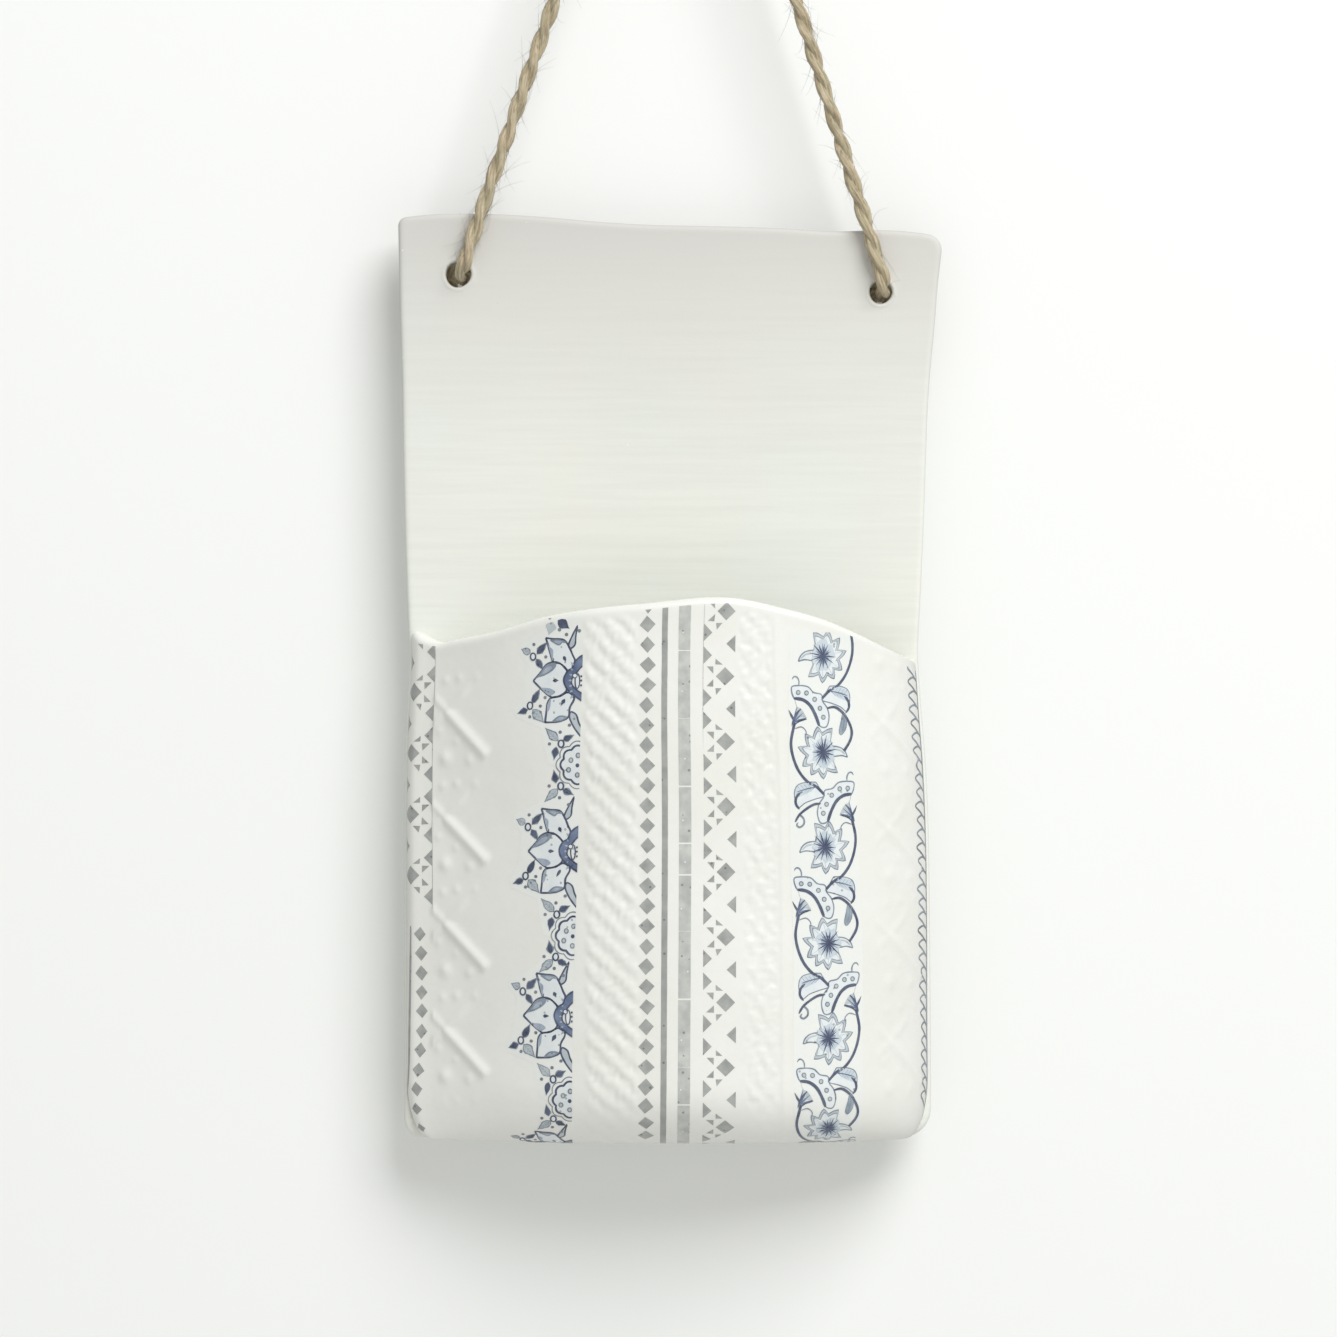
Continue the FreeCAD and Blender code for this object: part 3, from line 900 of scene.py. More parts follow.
def share_at(around):
    """Share of the half width at a distance round the wall."""
    return float(np.interp(around, section_reach, shares))


def nearness(y):
    """How much smaller a millimetre is at the depth y than in the plane of the twine's legs."""
    return (y - CAMERA_PLACE[1]) / -CAMERA_PLACE[1]


def spot(px, py):
    """Place on the wall, around and level, that a point of the photograph's frame shows."""
    y = -15.0
    for _ in range(4):
        x = CAMERA_PLACE[0] + (px - PHOTO_PIXELS / 2) * PIXEL * nearness(y)
        drop = -CAMERA_PLACE[2] + (py - PHOTO_PIXELS / 2) * PIXEL * nearness(y)
        angle = math.asin(min(1.0, max(0.0, (drop - ROLL_LEVEL) / ROLL_SIZE)))
        left, right = seam(min(drop, ROLL_LEVEL))
        share = min(1.0, max(-1.0, (2 * x - left - right) / (right - left)))
        y = wall_point(share, min(drop, ROLL_LEVEL), angle)[1]
    level = ROLL_LEVEL + ROLL_SIZE * angle if angle else drop
    return around_at(share), level


# %% Columns and rows
BAND_PIXELS = ((432, 503), (583, 642), (742, 790), (876, 921))
FINE_BANDS = [tuple(spot(px, 900)[0] for px in band) for band in BAND_PIXELS]
print("relief bands round the wall:", [tuple(round(v, 1) for v in band) for band in FINE_BANDS])
FINE_GAP, END_GAP, PLAIN_GAP = 0.36, 0.5, 0.9
around_list = [0.0]
while around_list[-1] < GIRTH:
    here = around_list[-1]
    fine = any(low - 0.5 < here < high + 0.5 for low, high in FINE_BANDS)
    at_end = min(here, GIRTH - here) < 4.0
    around_list.append(here + (FINE_GAP if fine else END_GAP if at_end else PLAIN_GAP))
around_list[-1] = GIRTH
share_list = [share_at(around) for around in around_list]

ROW_COUNTS = (5, 34, 212, 14, 36, 10, 4)
UNDER_ROWS, ROLL_ROWS, WALL_ROWS, LIP_ROWS, INSIDE_ROWS, INNER_ROLL_ROWS, FLOOR_ROWS = ROW_COUNTS
row_starts = [int(start) for start in np.cumsum(ROW_COUNTS)]
ROLL_START, WALL_START, LIP_START, INSIDE_START, INNER_ROLL_START = row_starts[:5]
FLOOR_START, LAST_ROW = row_starts[5:]
print(len(around_list), "columns,", LAST_ROW + 1, "rows")

RIM_MIDDLE = 180.0


def rim_level(share):
    """Level where the wall ends and the rounded rim starts."""
    left, right = seam(RIM_MIDDLE)
    return smooth_line(RIM_LINE, (left + right) / 2 + (right - left) / 2 * share) + WALL / 2


def sheet_point(share, row):
    """A point of the pocket's sheet before any pattern is pressed into it."""
    rim = rim_level(share)
    quarter = math.pi / 2
    if row < ROLL_START or row >= FLOOR_START:
        inner = row >= FLOOR_START
        point = wall_point(share, ROLL_LEVEL, quarter, inner)
        keep = 1 - (row - FLOOR_START) / FLOOR_ROWS if inner else row / UNDER_ROWS
        point[1] = FACE + BURIED + (point[1] - FACE - BURIED) * keep
        return point
    if row < WALL_START:
        return wall_point(share, ROLL_LEVEL, quarter * (1 - (row - ROLL_START) / ROLL_ROWS))
    if row < LIP_START:
        t = (row - WALL_START) / WALL_ROWS
        return wall_point(share, ROLL_LEVEL + (rim - ROLL_LEVEL) * t)
    if row < INSIDE_START:
        outer, inner = wall_point(share, rim), wall_point(share, rim, inner=True)
        angle = math.pi * (row - LIP_START) / LIP_ROWS
        point = (outer + inner) / 2 + (outer - inner) / 2 * math.cos(angle)
        point[2] += WALL / 2 * math.sin(angle)
        return point
    if row < INNER_ROLL_START:
        t = ((row - INSIDE_START) / INSIDE_ROWS) ** 1.2
        return wall_point(share, rim + (ROLL_LEVEL - rim) * t, inner=True)
    angle = quarter * (row - INNER_ROLL_START) / INNER_ROLL_ROWS + 1e-9
    return wall_point(share, ROLL_LEVEL, angle, True)


# %% [markdown]
# ### Pressed patterns
# Before the sheet was bent, textiles were pressed into it: a diagonal lattice with dots near both
# sides, a twisted rope left of the middle, and a narrow strip of lace right of it. Each is a
# height in millimetres over the flat sheet, from simple ridges and dots with a little noise.

# %% Relief of the pressed patterns
def ridge(distance, width):
    """Height across a soft ridge, 1 on its crest."""
    return math.exp(-((distance / width) ** 2))


LATTICE_PITCH = 20.3
LATTICE_SLOPE = 0.87
FIRST_ROD = 194.9
FIRST_CROSSING = 200.2
ROD_START = 3.0
ROD_END = 15.9
LATTICE_BEADS = (
    (3.0, 206.5, 1.25, 0.42), (8.6, 206.8, 1.0, 0.26), (5.6, 211.3, 0.8, 0.2),
    (5.4, 203.2, 0.75, 0.16), (1.4, 201.2, 0.8, 0.18), (2.4, 211.8, 0.8, 0.2),
    (9.8, 211.2, 0.8, 0.12),
)
ROPE_PITCH = 4.3
LACE_PITCH = 4.6
LACE_WIDTH = 3.6
LATTICE_TOP = 188.0
CALM_FOOT = 269.0


def from_nearest(value, pitch):
    """Distance to the nearest line of an evenly spaced set."""
    return abs(value / pitch - round(value / pitch)) * pitch


def lattice(across, level, strength):
    """Rods that run down to the right, fainter ones that cross them, and beads between."""
    lean = math.hypot(1, LATTICE_SLOPE)
    offset = level - FIRST_ROD - LATTICE_SLOPE * across
    offset -= LATTICE_PITCH * round(offset / LATTICE_PITCH)
    along = across * lean + offset * LATTICE_SLOPE / lean
    growth = ease((along - ROD_START) / 1.5)
    rod = ridge(offset / lean, 0.75 + 0.3 * growth)
    height = (0.26 + 0.34 * growth) * rod * (1 - ease((along - ROD_END) / 1.5))
    cross = from_nearest(level - FIRST_CROSSING + LATTICE_SLOPE * across, LATTICE_PITCH) / lean
    height = max(height, 0.24 * ridge(cross, 0.85) * (1 - ease((across - 6.0) / 3.0)))
    for bead_across, bead_level, size, rise in LATTICE_BEADS:
        away = math.hypot(from_nearest(level - bead_level, LATTICE_PITCH), across - bead_across)
        height = max(height, rise * ridge(away, size))
    return strength * height


def rope(across, level, width):
    """Twisted cord: round bands that run down to the right, with the grain of the thread."""
    turns = (level - 0.92 * across) / ROPE_PITCH
    band = 0.5 + 0.5 * math.cos(math.tau * turns)
    grain = noise.noise((across * 0.9 + level * 0.9, (level - across) * 0.5, 3.0))
    fade = ease(across / 1.6) * ease((width - across) / 1.6)
    return fade * (0.22 * band + 0.2 * grain)


def lace(across, level, width):
    """A narrow strip of knotted lace with one straight rib along its right side."""
    pebbles = noise.noise((across * 0.75, level * 0.75, 8.0))
    pebbles += 0.5 * noise.noise((across * 1.6, level * 1.6, 4.0))
    weave = math.cos(math.tau * level / LACE_PITCH) * math.cos(math.tau * across / LACE_WIDTH)
    fade = ease(across / 1.2) * ease((width - 2.0 - across) / 1.0)
    rib = ridge(across - (width - 1.4), 0.55)
    return fade * (0.2 * pebbles + 0.1 * weave) + 0.2 * rib


def relief_at(around, level):
    """Height of the pressed patterns at one place on the wall."""
    total = 0.05 * noise.noise((around / 9.0, level / 9.0, 0.0))
    total += 0.35 * noise.noise((around / 30.0, level / 34.0, 6.0))
    calm = 1 - ease((level - CALM_FOOT) / 6.0)
    for number, (low, high) in enumerate(FINE_BANDS):
        if not low < around < high:
            continue
        across, width = around - low, high - low
        if number == 0:
            total += calm * ease((level - LATTICE_TOP) / 4.0) * lattice(across, level, 1.0)
        elif number == 1:
            total += (0.25 + 0.75 * calm) * rope(across, level, width)
        elif number == 2:
            total += (0.25 + 0.75 * calm) * lace(across, level, width)
        else:
            total += calm * lattice(across, level - 2.0, 0.55)
    return total


# %% [markdown]
# ### Pressing and closing the sheet
# Every crossing of the grid is placed first. Then the patterns lift it along its own normal, and
# fade out towards the seams, the foot and the rim. The grid's open edge lies inside the slab,
# where it is closed with triangles.

# %% The pocket's sheet
def normals_of(grid):
    """Outward directions at the crossings of a grid."""
    found = np.cross(np.gradient(grid, axis=1), np.gradient(grid, axis=0))
    return found / np.maximum(np.linalg.norm(found, axis=2, keepdims=True), 1e-9)


def wall_row(level, share):
    """Row of the sheet, with its fraction, at a level on the roll, the wall or the lip."""
    above = rim_level(share) - level
    if above > 0:
        return LIP_START + LIP_ROWS * above / (math.pi * WALL / 2)
    if level > ROLL_LEVEL:
        return ROLL_START + ROLL_ROWS * (1 - (level - ROLL_LEVEL) / (ROLL_SIZE * math.pi / 2))
    return WALL_START + WALL_ROWS * (ROLL_LEVEL - level) / (ROLL_LEVEL - rim_level(share))


sheet = np.array([[sheet_point(share, row) for share in share_list] for row in range(LAST_ROW + 1)])
normals = normals_of(sheet)
for row in range(ROLL_START, LIP_START + 1):
    for column, (around, share) in enumerate(zip(around_list, share_list)):
        if row >= WALL_START:
            t = (row - WALL_START) / WALL_ROWS
            level = ROLL_LEVEL + (rim_level(share) - ROLL_LEVEL) * t
        else:
            level = ROLL_LEVEL + ROLL_SIZE * math.pi / 2 * (1 - (row - ROLL_START) / ROLL_ROWS)
        fade = ease(min(around, GIRTH - around) / 3.0) * ease((row - ROLL_START) / 6.0)
        fade *= ease((LIP_START - row) / 5.0)
        sheet[row, column] += normals[row, column] * (fade * relief_at(around, level))


def sheet_place(column, row):
    return Vector(sheet[row, column])


mesh = start_mesh()
grid_of(mesh, len(around_list) - 1, LAST_ROW, sheet_place)
seam_edges = [edge for edge in mesh.edges if edge.is_boundary]
bmesh.ops.holes_fill(mesh, edges=seam_edges, sides=0)
wide_faces = [face for face in mesh.faces if len(face.verts) > 4]
bmesh.ops.triangulate(mesh, faces=wide_faces, ngon_method="EAR_CLIP")
print("pocket edges left open:", sum(edge.is_boundary for edge in mesh.edges))
pocket = hand_in(mesh, "pocket_sheet", [glaze])
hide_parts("pocket")
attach(pocket, "vase")

# %% [markdown]
# ## The prints
# The borders are transfers: thin films printed with ceramic ink, slid onto the clay, and fired
# under the glaze. Blue-and-white flower borders and rows of grey diamonds are common ornament,
# drawn here one by one. Each ink wavers between a thin and a thick tone. *film* is the clear film
# itself, which shows only as a slightly cooler white round the flowers. The glaze over the ink is
# the same as beside it, so reflections run on across the prints.

# %% Inks
INK_TONES = {
    "navy": ((88, 99, 124), (44, 53, 80)),
    "stem": ((96, 106, 128), (64, 73, 98)),
    "blue": ((122, 138, 166), (80, 96, 130)),
    "sky": ((182, 192, 203), (148, 161, 180)),
    "pale": ((213, 223, 229), (194, 207, 217)),
    "haze": ((150, 161, 173), (112, 125, 142)),
    "mist": ((200, 208, 211), (178, 189, 195)),
    "petal": ((237, 242, 241), (227, 233, 236)),
    "teal": ((168, 182, 191), (124, 140, 155)),
    "ash": ((140, 147, 153), (104, 113, 125)),
    "slate": ((170, 172, 168), (150, 153, 150)),
    "grey": ((178, 180, 176), (149, 152, 149)),
    "bar": ((208, 210, 204), (180, 183, 178)),
    "film": ((242, 243, 238), (239, 242, 238)),
}
INK_NUMBERS = {name: number for number, name in enumerate(INK_TONES)}


def mix_ink(name, thin, thick, speckled):
    """A printed colour under the clear glaze, with dark specks at some share of their places."""
    material, tree, shader = new_material(name)
    where = on_object(tree)
    tone = blend_colours(tree, mottled(tree, where, 2.2), colour(*thin), colour(*thick))
    dots = maths(tree, "MULTIPLY", specked(tree, where, 1.3, 0.19, speckled), 0.8)
    tone = blend_colours(tree, dots, tone, colour(*[0.7 * value for value in thick]))
    glossy(tree, shader, where, tone)
    return material


inks = []
for name, (thin, thick) in INK_TONES.items():
    inks.append(mix_ink(f"ink_{name}", thin, thick, 0.0 if name == "film" else 0.5))
print(len(inks), "inks")

# %% [markdown]
# ### A drawing kit
# A border is drawn flat on a *paper*: millimetres across from the border's guide line, then
# millimetres down, then the layer of ink. A motif has its own points, and `seat` says where they
# go on the paper. Shapes are filled outlines, and lines are strips that thin out at their ends,
# as a pen line does.

# %% Drawing kit
def curve_through(points, steps=5, closed=True):
    """A smooth line through given points. A point given twice makes a sharp corner."""
    count = len(points)
    found = []
    for index in range(count if closed else count - 1):
        if closed:
            picks = [(index + k) % count for k in (-1, 0, 1, 2)]
        else:
            picks = [min(max(index + k, 0), count - 1) for k in (-1, 0, 1, 2)]
        a, b, c, d = (np.array(points[pick]) for pick in picks)
        if np.allclose(b, c):
            continue
        for t in np.linspace(0, 1, steps, endpoint=False):
            bend = (2 * a - 5 * b + 4 * c - d) * t * t + (3 * b - a - 3 * c + d) * t ** 3
            found.append(0.5 * (2 * b + (c - a) * t + bend))
    if not closed:
        found.append(np.array(points[-1]))
    return found


def seat(x, y, flip=1, turn=0.0, grow=1.0):
    """Where a motif's own points go on the paper; a flip of -1 mirrors it left to right."""
    cosine, sine = grow * math.cos(turn), grow * math.sin(turn)
    return lambda u, v: (x + flip * (cosine * u - sine * v), y + sine * u + cosine * v)


def lay_shape(paper, place, outline, ink, layer):
    """Fill an outline with one ink."""
    made = bmesh.ops.create_circle(paper, cap_ends=True, segments=len(outline))["verts"]
    for vert, (u, v) in zip(made, outline):
        vert.co = (*place(u, v), layer)
    made[0].link_faces[0].material_index = INK_NUMBERS[ink]


def draw_line(paper, place, points, width, ink, layer, taper=(0.3, 0.3)):
    """Draw a pen line. Taper gives the share of its width that is left at its two ends."""
    route = np.array([place(u, v) for u, v in points])
    ways = np.gradient(route, axis=0)
    ways /= np.maximum(np.linalg.norm(ways, axis=1, keepdims=True), 1e-9)
    last = len(route) - 1

    def corner(column, row):
        x, y = route[column]
        share = min(1.0, taper[0] + 4 * column / last, taper[1] + 4 * (1 - column / last))
        reach = (row - 0.5) * (width * share + 0.3 * min(width, 0.3) * noise.noise((x, y, 5.0)))
        return Vector((x - ways[column][1] * reach, y + ways[column][0] * reach, layer))

    for vert in grid_of(paper, last, 1, corner):
        for face in vert.link_faces:
            face.material_index = INK_NUMBERS[ink]


def draw_curve(paper, place, points, steps, width, ink, layer, taper=(0.3, 0.3)):
    """Draw a smooth pen line through a few points."""
    draw_line(paper, place, curve_through(points, steps, False), width, ink, layer, taper)


def outlined(paper, place, points, fill, line, width, layer):
    """A filled shape with a line round it."""
    outline = curve_through(points)
    lay_shape(paper, place, outline, fill, layer)
    draw_line(paper, place, outline + outline[:1], width, line, layer + 1, (1.0, 1.0))


def dot(paper, place, u, v, radius, ink, layer, tall=1.0):
    """A small round or oval dot, a little uneven."""
    angles = [math.tau * step / 10 for step in range(10)]
    outline = []
    for angle in angles:
        x, y = math.cos(angle), math.sin(angle)
        size = radius * (1 + 0.12 * noise.noise((u + x, v + y, 2.0)))
        outline.append((u + size * x, v + tall * size * y))
    lay_shape(paper, place, outline, ink, layer)


def ring(paper, place, u, v, radius, width, ink, layer, tall=1.0):
    """A small ring."""
    angles = [math.tau * step / 12 for step in range(13)]
    points = [(u + radius * math.cos(a), v + tall * radius * math.sin(a)) for a in angles]
    draw_line(paper, place, points, width, ink, layer, (1.0, 1.0))


def leaf(paper, place, root, tip, belly, ink, layer):
    """A leaf from its root to its pointed tip."""
    root, tip = np.array(root), np.array(tip)
    aside = np.array((root[1] - tip[1], tip[0] - root[0]))
    aside = aside / np.linalg.norm(aside)
    up, down = [], []
    for t in np.linspace(0, 1, 8):
        swell = belly * math.sin(math.pi * t ** 0.7) ** 1.4 * random.uniform(0.8, 1.15)
        up.append(root + (tip - root) * t + aside * swell)
        down.append(root + (tip - root) * t - aside * swell)
    lay_shape(paper, place, up[:-1] + down[:0:-1], ink, layer)


# %% [markdown]
# ### From paper to clay
# Before a border is wrapped, its top is cut along the rim and its large shapes are divided, so
# that every edge is short enough to bend. Each point then takes its place and its direction
# between the crossings of the pocket's sheet. The ink lies a few hundredths of a millimetre over
# the clay, each layer a little above the one below it.

# %% Wrapping
INK_LIFT = 0.035
LAYER_LIFT = 0.014
FILM_END = 285.6
MOST_CUTS = 9

clay_normals = normals_of(sheet)
column_numbers = np.arange(len(around_list))


def between(grid, around, level):
    """Value of a grid over the wall at one place between its crossings."""
    column = float(np.interp(around, around_list, column_numbers))
    row = float(wall_row(level, share_at(around)))
    c, r = min(int(column), len(around_list) - 2), int(row)
    a, b = column - c, row - r
    low = grid[r, c] * (1 - a) + grid[r, c + 1] * a
    high = grid[r + 1, c] * (1 - a) + grid[r + 1, c + 1] * a
    return low * (1 - b) + high * b


def guide_through(pixels):
    """A border's guide line, as (level, around) points, from points of the photograph's frame."""
    places = [spot(px, py) for px, py in pixels]
    return sorted((level, around) for around, level in places)


def cut_paper(paper, place, direction):
    """Cut all ink away on one side of a straight line."""
    parts = paper.verts[:] + paper.edges[:] + paper.faces[:]
    bmesh.ops.bisect_plane(paper, geom=parts, plane_co=place, plane_no=direction, clear_outer=True)


def fire_on(name, paper, guide, rim_gap=-0.1, stretch=1.0, longest=0.9):
    """Cut a drawn border at rim and foot, and wrap it round the pocket's sheet."""
    bmesh.ops.scale(paper, vec=(stretch, 1.0, 1.0), verts=paper.verts)
    middle = smooth_line(guide, 0.0)
    left, right = (rim_level(share_at(middle + step)) + rim_gap for step in (-2.0, 2.0))
    cut_paper(paper, (0.0, (left + right) / 2, 0.0), (right - left, -4.0, 0.0))
    cut_paper(paper, (0.0, FILM_END, 0.0), (0.0, 1.0, 0.0))
    for _ in range(MOST_CUTS):
        wide = [face for face in paper.faces if len(face.verts) > 4]
        bmesh.ops.triangulate(paper, faces=wide)
        long_edges = [edge for edge in paper.edges if edge.calc_length() > longest]
        if not long_edges:
            break
        bmesh.ops.subdivide_edges(paper, edges=long_edges, cuts=1)
    bmesh.ops.triangulate(paper, faces=paper.faces)
    outward = []
    for vert in paper.verts:
        x, level, layer = vert.co
        around = smooth_line(guide, level) + x
        way = between(clay_normals, around, level)
        vert.co = between(sheet, around, level) + way * (INK_LIFT + LAYER_LIFT * layer)
        outward.append(Vector(way))
    paper.normal_update()
    for face in paper.faces:
        if face.normal.dot(outward[face.verts[0].index]) < 0:
            face.normal_flip()
    piece = hand_in(paper, name, inks)
    piece.data.normals_split_custom_set_from_vertices(outward)
    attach(piece, "vase")
    return piece


# %% [markdown]
# ### Diamonds, a line and a bar
# Left of the middle stand a row of small grey diamonds, a thin dark line, and a pale bar with
# small breaks, where the film cracked when it was slid into place.

# %% Diamonds, line and bar
def diamond(paper, u, v, wide, tall, ink, turn=0.0):
    """A diamond with faintly uneven corners."""
    corners = [(0, -tall), (wide, 0), (0, tall), (-wide, 0)]
    shifted = [(a * random.uniform(0.93, 1.07), b * random.uniform(0.93, 1.07)) for a, b in corners]
    lay_shape(paper, seat(u, v, 1, turn), shifted, ink, 0)


DIAMOND_STEP = 3.79
DIAMONDS_AT = -3.32
BAR_AT = 3.83
BREAKS = (0.12, 0.22, 0.34)
flat = seat(0, 0)
levels = np.arange(170.0, 287.0, 1.2)

random.seed(11)
paper = start_mesh()
stripes_guide = guide_through([(665.5, 604), (664.8, 870), (663, 1137)])
first_row = spot(648, 604.5)[1]
for number in range(28):
    across = DIAMONDS_AT + random.uniform(-0.09, 0.09)
    wide, tall = random.uniform(1.4, 1.56), random.uniform(1.48, 1.64)
    turn = random.uniform(-0.08, 0.08)
    diamond(paper, across, first_row + DIAMOND_STEP * number, wide, tall, "grey", turn)
draw_line(paper, flat, [(0.0, level) for level in levels], 1.12, "slate", 0, (1.0, 1.0))
level = levels[0]
while level < FILM_END:
    stretch = random.choice((5.6, 7.0, 8.4, 10.4, 12.6))
    steps = np.linspace(level, level + stretch, 8)
    draw_line(paper, flat, [(BAR_AT, step) for step in steps], 2.3, "bar", 0, (1.0, 1.0))
    dot(paper, flat, BAR_AT + random.uniform(-0.7, 0.7), level + 0.6 * stretch, 0.16, "petal", 1)
    level += stretch + random.choice(BREAKS)
fire_on("print_stripes", paper, stripes_guide)

# %% [markdown]
# ### The diamond border
# Right of the bar runs a wider border: large diamonds in a row, pairs of triangles along its
# left line, half diamonds along its right side, and four small triangles turned round each large
# diamond like a pinwheel. The same border, mirrored, wraps round the left edge of the vase. It is
# cut off at a slant halfway down, and a row of small diamonds beside a dark line follows it.

# %% Diamond borders
BORDER_PERIOD = 12.3
LEFT_PERIOD = 11.75
LEFT_STRETCH = 1.14
LARGE_AT = 4.26
BORDER_SIDE = 6.2
PINWHEEL = (
    ((2.4, -3.3), (3.75, -2.2), (2.4, -2.25)),
    ((0.65, -1.85), (2.0, -1.85), (1.95, -0.5)),
    ((2.0, 0.55), (2.0, 1.95), (0.65, 1.85)),
    ((2.4, 2.25), (3.6, 2.25), (2.55, 3.5)),
)


def border_unit(paper, y, flip):
    """One period of the border, with its large diamond at y and its left line at x = 0."""
    place = seat(0, y, flip)
    wide, tall = random.uniform(1.72, 1.86), random.uniform(1.68, 1.82)
    corners = [(LARGE_AT - wide, 0), (LARGE_AT, -tall), (LARGE_AT + wide, 0.05), (LARGE_AT, tall)]
    lay_shape(paper, place, corners, "grey", 0)
    for corners in PINWHEEL:
        shifted = [(u + random.uniform(-0.08, 0.08), v) for u, v in corners]
        lay_shape(paper, place, shifted, "grey", 0)
    half = BORDER_PERIOD / 2
    for side in (-1, 1):
        middle = half + side * 2.15
        corners = [(0, middle - 1.65), (1.64, middle + 0.05), (0, middle + 1.65)]
        lay_shape(paper, place, corners, "grey", 0)
    corners = [(4.45, half), (BORDER_SIDE, half - 1.6), (BORDER_SIDE, half + 1.6)]
    lay_shape(paper, place, corners, "grey", 0)


paper = start_mesh()
border_guide = guide_through([(705, 604), (703.6, 870), (702.3, 1137)])
first_diamond = spot(727, 611)[1]
for number in range(10):
    border_unit(paper, first_diamond + BORDER_PERIOD * number, 1)
draw_line(paper, flat, [(-0.05, level) for level in levels[:30]], 0.1, "bar", 0, (1.0, 0.1))
fire_on("print_diamond_border", paper, border_guide)

LEFT_DIAMONDS = (
    (420, 934), (421, 953), (421.4, 973), (421.6, 992), (422.2, 1011), (421.7, 1031),
    (420.5, 1050), (418.3, 1070), (416.1, 1089), (413.3, 1109), (411.7, 1128),
)
EDGE_LINE = (
    (410.6, 926), (410, 980), (409.4, 1035), (409, 1062), (407.8, 1083), (406.2, 1098),
    (404.2, 1113), (403.4, 1125),
)


def beside_guide(px, py):
    """Place on the left border's paper of a point of the photograph's frame."""
    around, level = spot(px, py)
    return (around - smooth_line(left_guide, level)) / LEFT_STRETCH, level


paper = start_mesh()
left_guide = guide_through([(434.8, 640), (432.5, 912), (430, 1137)])
first_diamond = spot(413, 692)[1]
for number in range(-1, 4):
    border_unit(paper, first_diamond + LEFT_PERIOD * number, -1)
draw_line(paper, flat, [(0.0, level) for level in levels[:57]], 0.12, "bar", 0, (1.0, 1.0))
cut_paper(paper, (0.0, 235.4, 0.0), (-0.5, 1.0, 0.0))
for px, py in LEFT_DIAMONDS:
    across, level = beside_guide(px, py)
    diamond(paper, across, level, 1.15, 1.42, "grey", random.uniform(-0.1, 0.1))
line = [beside_guide(px, py) for px, py in EDGE_LINE]
draw_curve(paper, flat, line, 6, 0.62, "slate", 0, (0.5, 0.6))
fire_on("print_left_border", paper, left_guide, -0.1, LEFT_STRETCH)

# %% [markdown]
# ### Half flowers
# Left of the rope runs a border that was cut down the middle of its flowers. Three petals spread
# to the left of a blue ring, small sprigs of leaves and dots stand between them, and half of a
# scalloped medallion follows before the next flower. The film's cut edge goes round the flowers.

# %% Shapes of the half flowers
PETALS = (
    (
        ((-9.3, -0.2), (-9.3, -0.2), (-7.8, -1.9), (-6.8, -3.2), (-5.4, -3.7), (-4.0, -3.3),
         (-2.8, -1.9), (-3.4, -0.4), (-2.8, 1.5), (-3.8, 2.6), (-5.4, 3.0), (-6.2, 2.6),
         (-7.8, 1.25)),
        ((-8.9, -0.5), (-7.8, -1.9), (-6.8, -3.1), (-5.4, -3.6), (-4.9, -3.3), (-5.0, -2.7),
         (-5.8, -1.9), (-7.2, -1.15), (-8.4, -0.8)),
        ((-7.8, 1.15), (-6.2, 2.6), (-5.0, 2.1), (-5.8, 1.35), (-7.4, 1.15)),
        ((-5.5, -0.2), (-4.3, -0.2)),
    ),
    (
        ((-6.8, -8.3), (-6.8, -8.3), (-5.2, -8.05), (-3.4, -7.85), (-2.5, -6.7), (-1.8, -5.0),
         (-1.35, -3.85), (-1.7, -2.5), (-2.5, -1.9), (-4.0, -3.3), (-5.4, -3.7), (-6.0, -5.2),
         (-6.4, -6.9)),
        ((-6.0, -7.9), (-4.6, -8.0), (-3.2, -7.7), (-2.8, -7.2), (-3.6, -7.3), (-4.3, -6.8),
         (-5.2, -7.2)),
        ((-6.7, -8.0), (-6.2, -6.7), (-5.5, -6.0), (-5.5, -5.0), (-5.6, -3.95), (-6.0, -5.2),
         (-6.4, -6.9)),
        ((-3.5, -4.8), (-3.0, -3.7)),
    ),
    (
        ((-5.7, 3.1), (-6.4, 4.0), (-6.6, 5.8), (-6.8, 7.7), (-6.8, 7.7), (-5.4, 7.7), (-3.8, 7.5),
         (-2.4, 6.7), (-2.2, 5.0), (-1.4, 3.2), (-2.6, 2.1), (-4.1, 2.8)),
        ((-5.4, 7.6), (-4.2, 6.5), (-2.6, 6.7), (-3.8, 7.5)),
        ((-5.8, 3.2), (-6.4, 4.2), (-6.5, 5.8), (-6.0, 5.2), (-5.8, 4.0)),
        ((-3.1, 3.3), (-3.9, 4.7)),
    ),
)
FAR_PETALS = (
    ((-2.5, -6.9), (-1.8, -8.5), (-0.7, -10.5), (-0.7, -10.5), (-1.1, -8.5), (-1.3, -6.9),
     (-2.2, -6.2)),
    ((-2.0, 5.8), (-1.0, 6.35), (-0.5, 7.9), (0.4, 9.8), (-0.2, 10.4), (-0.2, 10.4), (-1.4, 8.7),
     (-2.2, 6.9)),
)
BLUE_RING = (
    (1.0, -5.1), (-0.2, -4.7), (-1.3, -3.7), (-1.8, -2.5), (-2.7, -1.9), (-3.4, -0.4),
    (-2.8, 1.35), (-1.4, 2.7), (0.2, 3.85), (1.0, 4.1), (1.0, 2.9), (0.2, 2.5), (-0.9, 1.7),
    (-1.8, 0.8), (-1.9, -0.4), (-1.1, -1.5), (-0.1, -2.7), (1.0, -3.0),
)
